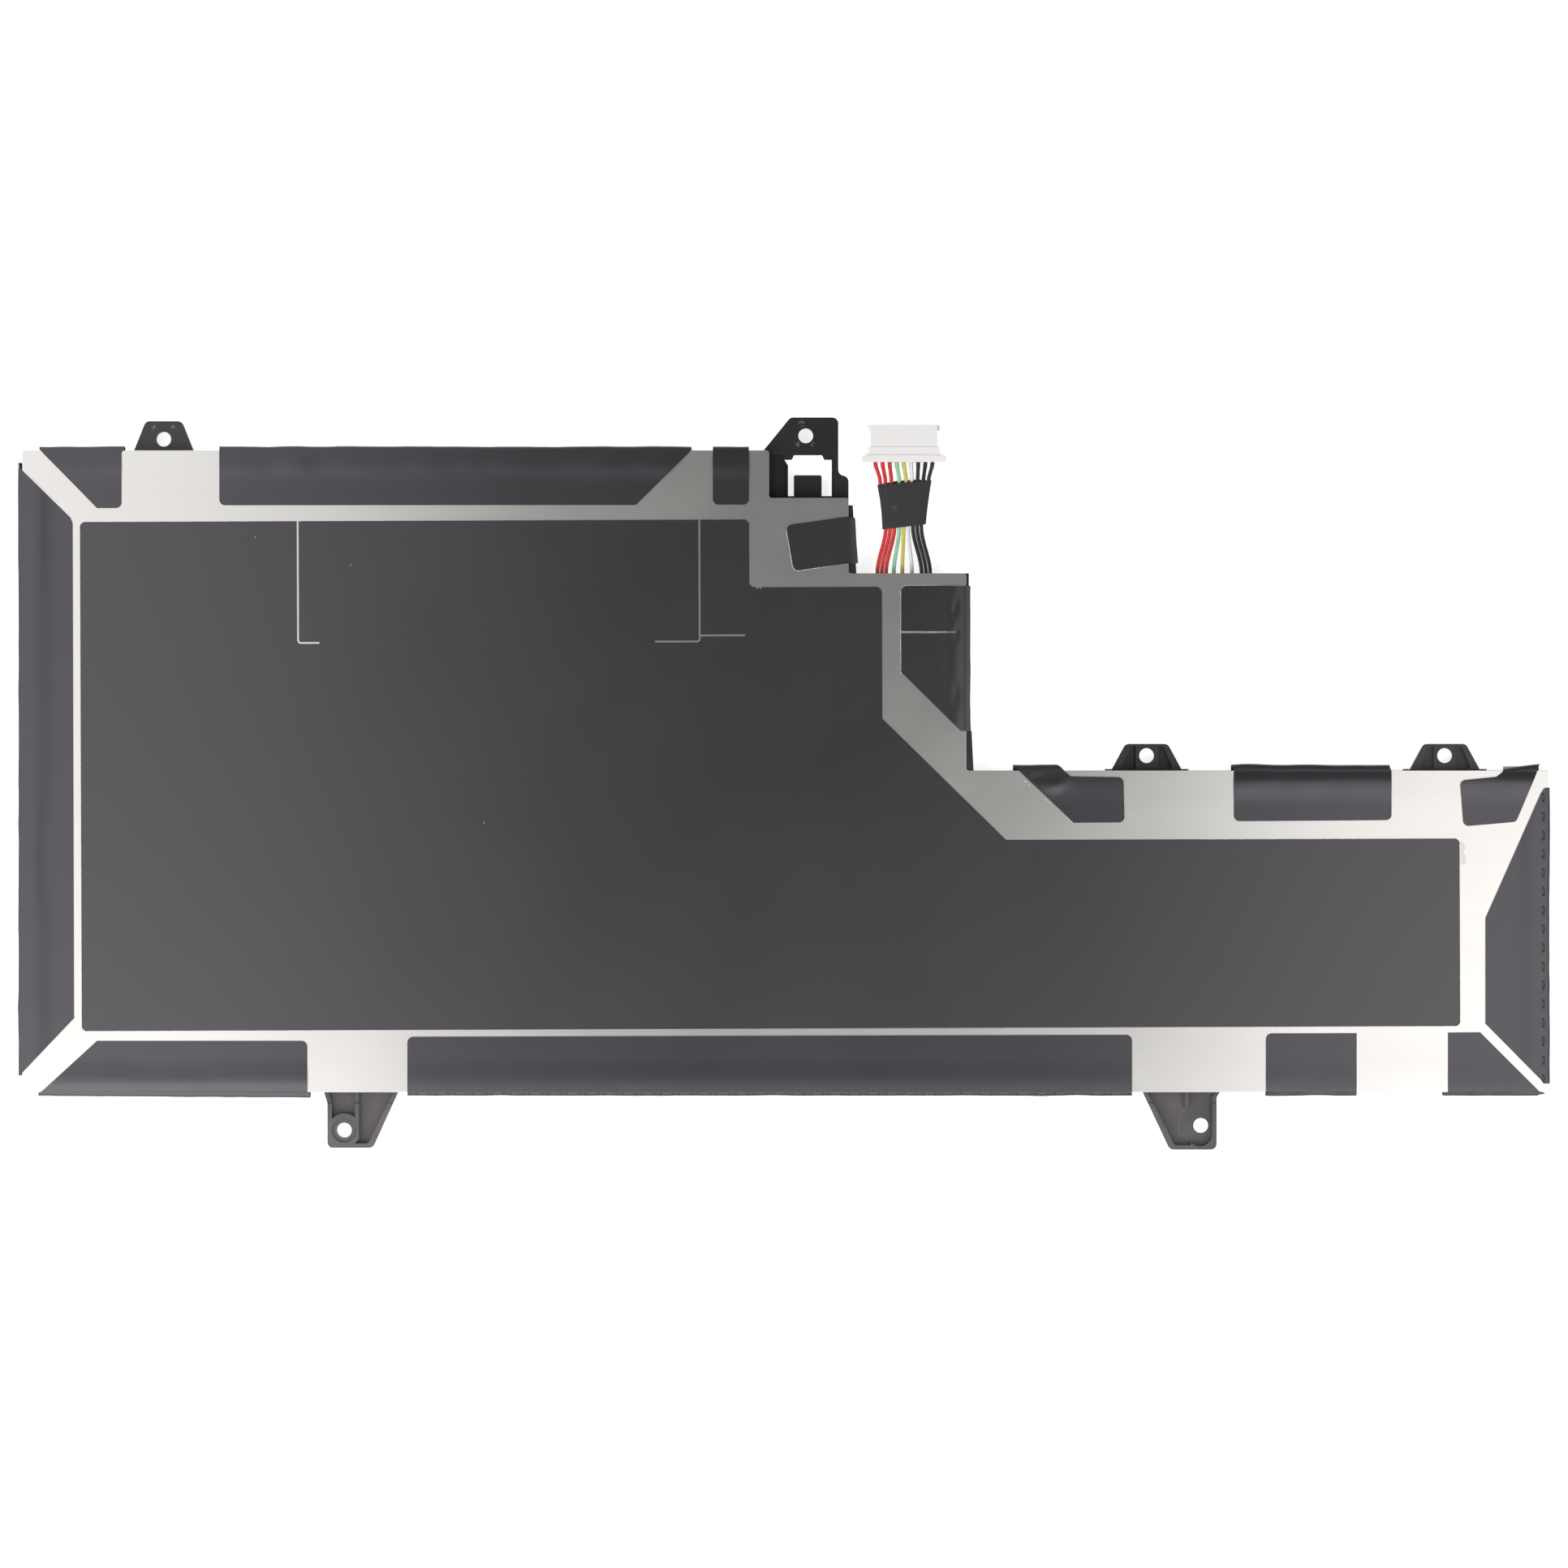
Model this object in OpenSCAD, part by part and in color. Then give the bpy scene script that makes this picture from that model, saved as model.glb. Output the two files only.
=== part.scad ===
// Flat L-shaped laptop battery pack: three pouch cells and a circuit board in a moulded frame,
// a thin steel plate on top, and a black film folded round the edges from underneath.
// It lies with its plate up. The cable bay is at the back, and the arm runs out to the right.

/* [Pack] */
// Width over the folded film, left to right
pack_w = 268; // [262:0.5:274]
// Depth over the screw lugs, front to back
pack_d = 128.2; // [126:0.1:132]
// Length of the arm to the right of the cable bay
arm_w = 101.8; // [99:0.1:105]
// Width of the cable bay
bay_w = 20.6; // [20:0.1:23]
// How far the cable bay stands back from the arm
bay_d = 34.5; // [34:0.1:36]
// Width of the latch recess
latch_w = 13.9; // [13.5:0.1:15]
// How far the latch recess stands back from the cable bay
latch_d = 13.2; // [12.5:0.1:14]
// How far the latch recess stands in front of the rear edge of the left part
rear_step = 8.3; // [8:0.1:9]
// How far the latch lug stands back from the plate
rear_reach = 5.8; // [5.4:0.1:6.6]
// How far the front right lug stands forward of the plate
front_reach = 10.1; // [9.8:0.1:11]

/* [Sheets] */
// Height of the wrapping film above the surface that the lugs stand on
film_lift = 0.2; // [0.1:0.05:0.4]
// Thickness of the wrapping film
film_t = 0.15; // [0.1:0.01:0.2]
// Thickness of the film on the plate
cover_t = 0.12; // [0.08:0.01:0.2]
// Thickness of the steel plate
plate_t = 0.3; // [0.2:0.05:0.5]
// Radius of the plate's corners
plate_r = 0.5; // [0.2:0.1:1]
// How far the film on the plate was laid askew, in degrees
cover_turn = 0.21; // [0:0.01:0.3]
// Corner radius of the films
film_r = 1; // [0.6:0.1:1.3]
// Width of the slits in the film on the plate
slit_w = 0.33; // [0.25:0.01:0.5]

/* [Fold] */
// How far the film stands out past the plate on the left and at the back
fold_out = 0.7; // [0.6:0.05:1]
// How far the film stands out past the plate on the right
fold_out_right = 0.3; // [0.25:0.05:0.6]
// How far the film stands out past the plate at the front
fold_out_front = 0.65; // [0.5:0.05:0.9]
// How far the film stands out past the back of the arm
fold_out_arm = 1; // [0.7:0.05:1.2]
// Radius of the fold at the film's upper and lower edge
fold_r = 0.5; // [0.3:0.05:0.8]
// Height of the soft crest where the film springs off the plate
hump_h = 0.35; // [0.2:0.05:0.6]
// Distance over which the crest dies away
hump_run = 6; // [5:0.5:7]
// Flap width on the left
flap_left = 9; // [8:0.1:9.6]
// Flap width at the back
flap_rear = 9.6; // [8.5:0.1:10]
// Flap width at the front
flap_front = 9.85; // [9:0.05:10.1]
// Flap width on the right
flap_right = 11; // [10:0.1:12]
// Flap width beside the cable bay
flap_bay = 11.4; // [10.5:0.1:12]
// Flap width at the back of the arm
flap_arm = 8.8; // [8.6:0.1:9.8]

/* [Frame] */
// Thickness of the frame's outer wall
wall_t = 1.2; // [1:0.05:1.4]
// Thickness of the rib between the two left cells
mid_rib_t = 2.1; // [1.2:0.1:4]
// Thickness of the low ribs and board supports
rib_t = 0.8; // [0.6:0.05:1]
// Floor thickness under the circuit board
floor_t = 0.6; // [0.4:0.05:0.8]
// How far the latch wall stands out past the plate at its rear end
latch_wall_out = 0.75; // [0.5:0.05:1]
// How far the latch wall stands out past the plate at the bay
latch_wall_foot = 1.4; // [1:0.05:1.6]
// How far the bay's right wall stands out past the plate
bay_wall_out = 0.45; // [0.3:0.05:0.5]
// How far that wall stands out at the arm's root
root_wall_out = 1.3; // [1:0.05:1.6]

/* [Lugs] */
// Height of the screw lugs
lug_h = 3; // [2.6:0.1:3.6]
// Thickness of a lug's floor or top
lug_floor = 1.1; // [0.9:0.05:1.4]
// Thickness of a lug's edge walls
lug_wall = 0.8; // [0.6:0.05:0.9]
// Corner radius of the lugs
lug_r = 1; // [0.7:0.1:1.2]
// Diameter of the screw holes
hole_d = 2.6; // [2.2:0.1:2.8]
// Distance from the left edge to the left rear screw hole
left_hole_in = 24.7; // [22:0.1:30]
// Distance from the side of the latch recess to its screw hole
latch_hole_in = 6.4; // [6.2:0.1:6.8]
// Distance from the cable bay to the first screw hole behind the arm
arm_near_in = 31.6; // [30:0.1:34]
// Distance from the right edge to the second screw hole behind the arm
arm_far_in = 18; // [17.5:0.1:19]
// Distance from the left edge to the left front screw hole
front_near_in = 56.3; // [50:0.1:62]
// Distance from the right edge to the right front screw hole
front_far_in = 60.7; // [58:0.1:66]
// How far the left rear screw hole lies behind the plate
left_hole_out = 2; // [1.9:0.1:2.4]
// How far the latch lug's screw hole lies behind the plate
latch_hole_out = 2.6; // [2.4:0.1:3]
// How far the arm's screw holes lie behind the plate
arm_hole_out = 2.6; // [2.3:0.1:2.8]
// How far the left front screw hole lies in front of the plate
near_hole_out = 6.7; // [6.4:0.1:6.8]
// How far the right front screw hole lies in front of the plate
far_hole_out = 5.9; // [5.7:0.1:6.4]
// How far the trapezoid lug behind the left cells stands out
left_lug_reach = 5.15; // [4.8:0.05:5.6]
// How far the two trapezoid lugs behind the arm stand out
arm_lug_reach = 4.65; // [4.4:0.05:5.2]

/* [Cells] */
// Thickness of a cell
cell_h = 4.1; // [3.9:0.1:5]
// Depth of a cell's sealed terrace
terrace_d = 4; // [3:0.1:5]
// Distance between a cell's two tabs
tab_pitch = 20; // [18:0.5:22]
// Width of a tab
tab_w = 5; // [4:0.5:6]
// Thickness of a tab
tab_t = 0.15; // [0.1:0.01:0.2]
// Thickness of the tape between a cell and the plate
cell_tape_t = 0.1; // [0.05:0.01:0.2]

/* [Board] */
// Thickness of the circuit board
board_t = 0.8; // [0.6:0.1:1]
// Width of the board's tail, between the ends of the cells
tail_w = 7.6; // [7:0.1:8.4]
// Distance from the tail's edge to the cells
tail_gap = 2.4; // [2:0.1:3]
// Thickness of the insulating sheet over the board
insulator_t = 0.2; // [0.1:0.05:0.3]

/* [Cable] */
// Diameter of a wire over its insulation
wire_d = 0.7; // [0.5:0.05:0.7]
// Distance between the contacts
contact_pitch = 1.25; // [1.2:0.01:1.3]
// Depth of the plug, from its wire end to its mouth
plug_d = 6.5; // [6:0.1:7.5]
// Height of the plug
plug_h = 4.4; // [4:0.1:4.8]
// Thickness of the tape round the wires
sleeve_t = 0.12; // [0.08:0.02:0.16]

/* [Hidden] */
WIRES = ["wire_red_1", "wire_red_2", "wire_red_3", "wire_green", "wire_yellow", "wire_white",
         "wire_black_1", "wire_black_2", "wire_black_3"];
WIRE_COLORS = ["crimson", "crimson", "crimson", "darkseagreen", "khaki", "white",
               "dimgray", "dimgray", "dimgray"];

// One overrun serves all cuts
cut = 1;
// Clearance between pieces that lie side by side
play = 0.3;
// Clearance between pieces that locate each other
fit = 0.1;

// Corners of the plate, left to right and front to back
x_left = -pack_w / 2 + fold_out;
x_right = pack_w / 2 - fold_out_right;
x_bay = x_right - arm_w;
x_latch = x_bay - bay_w;
x_main = x_latch - latch_w;
y_front = -pack_d / 2 + front_reach;
y_rear = pack_d / 2 - rear_reach;
y_latch = y_rear - rear_step;
y_bay = y_latch - latch_d;
y_arm = y_bay - bay_d;

// Heights, from the surface that the pack lies on
frame_z = film_lift + film_t;
cell_top_z = frame_z + cell_h;
plate_z = cell_top_z + cell_tape_t;
plate_top_z = plate_z + plate_t;
tab_z = frame_z + cell_h / 2;
board_z = tab_z - board_t;
floor_z = frame_z + floor_t;

// The tail of the circuit board stands midway between the ends of the cells
tail_in = 2.8;
tail_x = x_main + tail_in;
tail_x0 = tail_x - tail_w / 2;
tail_x1 = tail_x + tail_w / 2;
left_cells_x1 = tail_x0 - tail_gap;
arm_cell_x0 = tail_x1 + tail_gap;
mid_rib_y0 = (y_front + y_rear - mid_rib_t) / 2;
mid_rib_y1 = mid_rib_y0 + mid_rib_t;

// Screw holes
left_hole_x = x_left + left_hole_in;
latch_hole_x = x_main + latch_hole_in;
arm_near_x = x_bay + arm_near_in;
arm_far_x = x_right - arm_far_in;
front_near_x = x_left + front_near_in;
front_far_x = x_right - front_far_in;

// Outlines

// The points of one corner at b, rounded to radius r, between its neighbours a and c
function corner_arc(a, b, c, r, steps) =
    let (u = (a - b) / norm(a - b),
         v = (c - b) / norm(c - b),
         half = acos(u * v) / 2,
         centre = b + (u + v) / norm(u + v) * r / sin(half),
         start = b + u * r / tan(half) - centre,
         turn = (180 - 2 * half) * (u[0] * v[1] < u[1] * v[0] ? 1 : -1))
    [for (k = [0:steps])
        let (t = turn * k / steps)
        centre + [start[0] * cos(t) - start[1] * sin(t), start[0] * sin(t) + start[1] * cos(t)]];

// An outline whose corners are rounded to the radii in the list r, with no arc where it is zero
function rounded(points, r, steps = 4) =
    let (n = len(points))
    [for (i = [0:n - 1])
        for (p = r[i] > 0
                 ? corner_arc(points[(i + n - 1) % n], points[i], points[(i + 1) % n], r[i], steps)
                 : [points[i]])
            p];

// The same radius at every corner of an outline
function evenly(points, r, steps = 4) = rounded(points, [for (p = points) r], steps);

// The L-shaped outline with its cable bay and latch recess, moved inward by d
function pack_outline(d) = [
    [x_left + d, y_front + d], [x_right - d, y_front + d], [x_right - d, y_arm - d],
    [x_bay - d, y_arm - d], [x_bay - d, y_bay - d], [x_latch - d, y_bay - d],
    [x_latch - d, y_latch - d], [x_main - d, y_latch - d], [x_main - d, y_rear - d],
    [x_left + d, y_rear - d]];

// A slab between two heights
module slab(points, z0, z1) {
    translate([0, 0, z0])
        linear_extrude(height = z1 - z0)
            polygon(points);
}

// A box between two opposite corners
module block(x0, x1, y0, y1, z0, z1) {
    translate([x0, y0, z0])
        cube([x1 - x0, y1 - y0, z1 - z0]);
}

// A round bar or hole along Z
module post(x, y, d, z0, z1) {
    translate([x, y, z0])
        cylinder(d = d, h = z1 - z0, $fn = 48);
}

// Screw lugs

// Trapezoid lug: half its width at the plate and at its end
left_lug_base = 5.2;
left_lug_end = 3.15;
arm_lug_base = 6.2;
arm_lug_end = 3.7;
// Half the width of the pad round the screw hole, and its height
screw_pad = 1.95;
screw_pad_drop = 0.7;
screw_pad_z = lug_h - screw_pad_drop;
// The thin flange along the plate on each side of an arm lug
flange_run = 7.3;
flange_out = 0.25;
// Front lugs, measured sideways from the screw hole
near_lug_side = 2.95;
near_lug_toe = 5;
near_lug_heel = 9.45;
far_lug_side = 2.75;
far_lug_toe = 5.45;
far_lug_heel = 10.2;
// Their straight side flares out towards the plate
front_lug_flare = 0.6;
near_flare_run = 2;
far_flare_run = 0.9;
near_lug_short = 0.3;
near_lug_reach = front_reach - near_lug_short;
boss_d = 5.9;
boss_recess_d = 4.3;
boss_recess = 0.6;
lug_rib_t = 0.7;
// Outer side of the rib beside each front screw hole, and the length of the right one
near_rib_out = 2.6;
far_rib_out = 2.85;
far_rib_run = 2.6;
// The right lug's pocket is rounded out under the screw hole. The curve ends in a small tooth.
head_room_r = 2.15;
head_room_down = 1.45;
head_tooth_in = 1.6;
// Where the rim of a front lug steps down towards the plate
rim_step_out = 2;
rim_step = 0.5;

// The outline of a trapezoid lug, from inside the frame's wall outward
function trapezoid(base, end, reach, inset) =
    let (in = -wall_t / 2)
    rounded([[-base, in], [base, in], [base - inset, 0], [end - inset, reach - inset],
             [-end + inset, reach - inset], [-base + inset, 0]],
            [0, 0, 0, lug_r - inset / 2, lug_r - inset / 2, 0]);

// The lug behind the left cells is closed on top and hollow underneath
module left_lug() {
    translate([left_hole_x, y_rear, 0])
        difference() {
            slab(trapezoid(left_lug_base, left_lug_end, left_lug_reach, 0), 0, lug_h);
            difference() {
                slab(evenly([[-left_lug_base + 2 * lug_wall, lug_wall / 2],
                             [left_lug_base - 2 * lug_wall, lug_wall / 2],
                             [left_lug_end - lug_wall, left_lug_reach - lug_wall],
                             [-left_lug_end + lug_wall, left_lug_reach - lug_wall]], lug_wall / 2),
                     -cut, lug_h - lug_floor);
                post(0, left_hole_out, hole_d + 2 * lug_wall, -2 * cut, lug_h);
            }
            post(0, left_hole_out, hole_d, -cut, lug_h + cut);
        }
}

// A lug behind the arm is open on top, with a raised pad across it for the screw
module arm_lug(x) {
    translate([x, y_arm, 0])
        difference() {
            union() {
                slab(trapezoid(arm_lug_base, arm_lug_end, arm_lug_reach, 0), 0, lug_h);
                block(-flange_run, flange_run, -wall_t / 2, flange_out, frame_z, lug_h);
            }
            difference() {
                slab(evenly([[-arm_lug_base + 2 * lug_wall, flange_out],
                             [arm_lug_base - 2 * lug_wall, flange_out],
                             [arm_lug_end - lug_wall, arm_lug_reach - lug_wall / 2],
                             [-arm_lug_end + lug_wall, arm_lug_reach - lug_wall / 2]], lug_wall / 2),
                     lug_floor, lug_h + cut);
                block(-screw_pad, screw_pad, 0, arm_lug_reach, 0, screw_pad_z);
            }
            post(0, arm_hole_out, hole_d, -cut, lug_h + cut);
        }
}

// The outline of a front lug. The side away from the slope is straight and flares out over the
// length run. turn is 1 or -1 and mirrors it left to right.
function front_lug_outline(turn, side, run, toe, heel, reach, inset) =
    let (in = side - inset,
         points = [[-in - front_lug_flare, wall_t / 2], [-in - front_lug_flare, 0], [-in, -run],
                   [-in, -reach + inset], [toe - inset, -reach + inset], [heel - inset, 0],
                   [heel - inset, wall_t / 2]])
    rounded([for (p = points) [p[0] * turn, p[1]]],
            [0, 0, lug_r - inset / 2, lug_r - inset / 2, lug_r - inset / 2, 0, 0]);

// The tray that both front lugs start from: a floor with a rim that steps down near the plate
module front_tray(turn, side, run, toe, heel, reach) {
    difference() {
        slab(front_lug_outline(turn, side, run, toe, heel, reach, 0), 0, lug_h);
        slab(front_lug_outline(turn, side, run, toe, heel, reach, lug_wall), lug_floor, lug_h + cut);
        block(-heel, heel, -rim_step_out, 0, lug_h - rim_step, lug_h + cut);
    }
}

// The front lug on the left has a boss with a recessed screw seat. A rib runs from the plate
// along the boss and turns round it.
module front_near_lug() {
    boss_y = -near_hole_out;
    rib_in = near_rib_out - lug_rib_t;
    translate([front_near_x, y_front, 0])
        difference() {
            union() {
                front_tray(1, near_lug_side, near_flare_run, near_lug_toe, near_lug_heel,
                           near_lug_reach);
                intersection() {
                    post(0, boss_y, boss_d, 0, lug_h);
                    block(-near_lug_side, near_rib_out, -near_lug_reach, 0, 0, lug_h);
                }
                block(-near_lug_side, 0, -near_lug_reach + lug_wall, boss_y, 0, lug_h);
                block(rib_in, near_rib_out, boss_y, -rim_step_out, 0, lug_h);
                block(rib_in, near_rib_out, boss_y, 0, 0, lug_h - rim_step);
            }
            post(0, boss_y, boss_recess_d, lug_h - boss_recess, lug_h + cut);
            post(0, boss_y, hole_d, -cut, lug_h + cut);
        }
}

// The front lug on the right is a plain tray with a short rib, and a curve round the screw head
module front_far_lug() {
    room_x = far_lug_side - lug_wall - head_room_r;
    room_y = -far_hole_out - head_room_down;
    translate([front_far_x, y_front, 0])
        difference() {
            union() {
                front_tray(-1, far_lug_side, far_flare_run, far_lug_toe, far_lug_heel, front_reach);
                block(room_x - head_tooth_in, far_lug_side - lug_wall / 2, -front_reach + lug_wall / 2,
                      room_y, 0, lug_h);
                block(-far_rib_out, -far_rib_out + lug_rib_t, -far_rib_run, 0, 0, lug_h - rim_step);
            }
            post(room_x, room_y, 2 * head_room_r, lug_floor, lug_h + cut);
            post(0, -far_hole_out, hole_d, -cut, lug_h + cut);
        }
}

// Latch lug

// The slope starts this far left of the recess and ends this far into it
latch_slope_start = 1;
latch_slope_end = 3.7;
// The lug is narrower than the recess above its shoulder
latch_step = 1.8;
latch_shoulder = 3.9;
// The window, from the recess's left side and from the recess's edge
window_in = 2.66;
window_w = 8.29;
window_up = 0.35;
window_d = 6.35;
window_x0 = x_main + window_in;
window_x1 = window_x0 + window_w;
window_y0 = y_latch + window_up;
window_y1 = window_y0 + window_d;
window_notch = 0.8;
window_notch_in = 1.3;
window_notch_run = 0.4;
// Its left side juts into it below a hooked corner
window_hook = 0.65;
window_hook_d = 1;
// The springy tongue in the window
tongue_gap_left = 1.65;
tongue_gap_right = 1.75;
tongue_d = 4;
tongue_h = 1.6;
tongue_x0 = window_x0 + tongue_gap_left;
tongue_x1 = window_x1 - tongue_gap_right;
tongue_y = y_latch + tongue_d;
// The sunken panel round the window
latch_panel = 0.8;
latch_panel_in = 2.5;

module latch_lug() {
    top_y = y_rear + rear_reach;
    right_x = x_latch - latch_step;
    points = [[x_main - latch_slope_start, y_rear - wall_t / 2],
              [x_main - latch_slope_start, y_rear],
              [x_main + latch_slope_end, top_y], [right_x, top_y],
              [right_x, y_latch + latch_shoulder], [x_latch, y_latch + latch_shoulder],
              [x_latch, y_latch - wall_t / 2], [x_main - wall_t / 2, y_latch - wall_t / 2],
              [x_main - wall_t / 2, y_rear - wall_t / 2]];
    window = [[window_x0 + window_hook, window_y0], [window_x1, window_y0], [window_x1, window_y1],
              [window_x1 - window_notch_in, window_y1],
              [window_x1 - window_notch_in - window_notch_run, window_y1 + window_notch],
              [window_x0 + window_notch_in + window_notch_run, window_y1 + window_notch],
              [window_x0 + window_notch_in, window_y1], [window_x0, window_y1],
              [window_x0 + window_hook, window_y1 - window_hook_d]];
    difference() {
        slab(rounded(points, [0, 0, lug_r, lug_r, lug_r, lug_r, 0, 0, 0]), 0, lug_h);
        slab(window, -cut, lug_h + cut);
        // The sunken panel, between the screw pad and the plate
        block(x_main, x_main + latch_panel_in, y_latch, y_rear - latch_panel,
              lug_h - latch_panel, lug_h + cut);
        block(window_x0, window_x1 + window_notch_run, y_latch, window_y1, lug_h - latch_panel,
              lug_h + cut);
        post(latch_hole_x, y_rear + latch_hole_out, hole_d, -cut, lug_h + cut);
    }
    // The tongue, with a rounded end
    translate([(tongue_x0 + tongue_x1) / 2, 0, 0])
        slab(rounded([[(tongue_x0 - tongue_x1) / 2, y_latch - wall_t / 2],
                      [(tongue_x1 - tongue_x0) / 2, y_latch - wall_t / 2],
                      [(tongue_x1 - tongue_x0) / 2, tongue_y], [(tongue_x0 - tongue_x1) / 2, tongue_y]],
                     [0, 0, play, play]),
             frame_z, frame_z + tongue_h);
}

// Frame

// The cable's middle, from the left side of the bay, and the notch that the wires leave through
cable_in = 9.7;
cable_x = x_latch + cable_in;
wire_notch_w = 10.8;
board_support_pitch = 11;
// How far the thick wall beside the arm's root reaches up the bay
root_wall_run = 6.9;
root_wall_top = 0.95;
latch_wall_short = 1.3;

// The latch wall's slanting outer face, moved outward by d, and closed off at x inside the plate
function latch_wall(x, d) =
    [[x, y_bay - wall_t / 2], [x_latch + latch_wall_foot + d, y_bay - wall_t / 2],
     [x_latch + latch_wall_out + d, y_latch - latch_wall_short], [x, y_latch - latch_wall_short]];

module frame() {
    color([0.16, 0.16, 0.17])
        difference() {
            union() {
                // Outer wall
                difference() {
                    union() {
                        slab(evenly(pack_outline(0), plate_r), frame_z, plate_z);
                        slab(latch_wall(x_latch - wall_t, 0), frame_z, plate_z);
                        block(x_bay - wall_t, x_bay + bay_wall_out, y_arm, y_bay, frame_z + play,
                              plate_z);
                        slab([[x_bay - wall_t, y_arm - wall_t / 2],
                              [x_bay + root_wall_out, y_arm - wall_t / 2],
                              [x_bay + root_wall_top, y_arm + root_wall_run],
                              [x_bay - wall_t, y_arm + root_wall_run]], frame_z, plate_z);
                    }
                    slab(pack_outline(wall_t), frame_z - cut, plate_z + cut);
                }
                // Rib between the two left cells, and the arm cell's rear wall
                block(x_left + wall_t / 2, tail_x0 - play, mid_rib_y0, mid_rib_y1, frame_z, plate_z);
                block(tail_x1 + play, x_bay, y_arm - wall_t, y_arm, frame_z, plate_z);
                // Floor under the board and its tail
                block(tail_x0 - tail_gap / 2 - rib_t / 2, tail_x1 + tail_gap / 2 + rib_t / 2,
                      y_front + wall_t / 2, y_latch - wall_t / 2, frame_z, floor_z);
                block(tail_x, x_bay - wall_t / 2, y_arm - wall_t / 2, y_bay - wall_t / 2,
                      frame_z, floor_z);
                // Low ribs that the tabs lie on
                for (x = [tail_x0 - tail_gap / 2, tail_x1 + tail_gap / 2])
                    block(x - rib_t / 2, x + rib_t / 2, y_front + wall_t / 2,
                          x < tail_x ? y_latch - wall_t / 2 : y_arm, frame_z, tab_z);
                // Supports under the tail and the board
                for (y = [y_front + wall_t + play : board_support_pitch : y_latch - wall_t - rib_t])
                    block(tail_x0, tail_x1, y, y + rib_t, frame_z, board_z);
                for (x = [tail_x1 + board_support_pitch / 2 : board_support_pitch : x_bay - wall_t - rib_t])
                    block(x, x + rib_t, y_arm - wall_t / 2, y_bay - wall_t / 2, frame_z, board_z);
                left_lug();
                arm_lug(arm_near_x);
                arm_lug(arm_far_x);
                front_near_lug();
                front_far_lug();
                latch_lug();
            }
            // Room for the film underneath
            slab(evenly(pack_outline(0), plate_r), -cut, frame_z);
            // Way out for the wires
            block(cable_x - wire_notch_w / 2, cable_x + wire_notch_w / 2, y_bay - wall_t - cut,
                  y_bay + cut, board_z + board_t, plate_z + cut);
        }
}

// Sheets

module steel_plate() {
    color([0.72, 0.71, 0.7])
        slab(evenly(pack_outline(0), plate_r), plate_z, plate_top_z);
}

// The film on the plate stops short of the folded flaps by these gaps
gap_left = 1.25;
gap_front = 1.25;
gap_rear = 2.45;
gap_right = 4.5;
gap_arm = 3.5;
gap_bay = 3.25;
cover_bay_rear = 2.45;
cover_main = 3.35;
// Its corner towards the arm is cut off at 45 degrees
cover_slope = 21.6;
cover_slope_up = 9;
// The slits, and how far they run down from the film's rear edge
slit_run = 21.5;
slit_1_in = 48.2;
slit_1_foot = 3.9;
slit_2_in = 11.9;
slit_2_foot = 8;
slit_branch_up = 1.05;
slit_branch_gap = 0.75;
slit_1_x = x_left + slit_1_in;
slit_2_x = x_main - slit_2_in;

// Points turned about the middle of the pack, as the film on the plate was laid askew
function askew(points) =
    [for (p = points) [p[0] * cos(cover_turn) - p[1] * sin(cover_turn),
                       p[0] * sin(cover_turn) + p[1] * cos(cover_turn)]];

// A slit that runs down from the film's rear edge and turns through a rounded corner into a foot
module slit(x, y_top, run, foot) {
    side = sign(foot);
    outer_r = 2 * slit_w;
    slab(askew(rounded([[x, y_top + cut], [x, y_top - run], [x + foot, y_top - run],
                        [x + foot, y_top - run + slit_w], [x + side * slit_w, y_top - run + slit_w],
                        [x + side * slit_w, y_top + cut]],
                       [0, outer_r, 0, 0, slit_w, 0])),
         plate_top_z - cut, plate_top_z + cover_t + cut);
}

module plate_film() {
    x0 = x_left + flap_left + gap_left;
    x1 = x_main - cover_main;
    x2 = x_bay - flap_bay - gap_bay;
    x3 = x_right - flap_right - gap_right;
    y0 = y_front + flap_front + gap_front;
    y1 = y_arm - flap_arm - gap_arm;
    y2 = y_arm + cover_slope_up;
    y3 = y_bay - cover_bay_rear;
    y4 = y_rear - flap_rear - gap_rear;
    outline = [[x0, y0], [x3, y0], [x3, y1], [x2 + cover_slope, y1], [x2, y2], [x2, y3], [x1, y3],
               [x1, y4], [x0, y4]];
    branch_x0 = slit_2_x - slit_w / 2;
    branch_x1 = x1 - slit_branch_gap;
    branch_y = y4 - slit_run + slit_branch_up;
    color([0.28, 0.27, 0.29])
        difference() {
            slab(askew(rounded(outline, [film_r, film_r, film_r, 0, 0, film_r, film_r, film_r, film_r])),
                 plate_top_z, plate_top_z + cover_t);
            slit(slit_1_x, y4, slit_run, slit_1_foot);
            slit(slit_2_x, y4, slit_run, -slit_2_foot);
            slab(askew([[branch_x0, branch_y], [branch_x1, branch_y], [branch_x1, branch_y + slit_w],
                        [branch_x0, branch_y + slit_w]]),
                 plate_top_z - cut, plate_top_z + cover_t + cut);
        }
}

// Wrapping film

// Height of the crest at distance d from the plate's edge, where it starts at d0
function hump(d, d0) = hump_h * (1 - cos(360 * (d - d0) / (hump_run - d0))) / 2;

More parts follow.
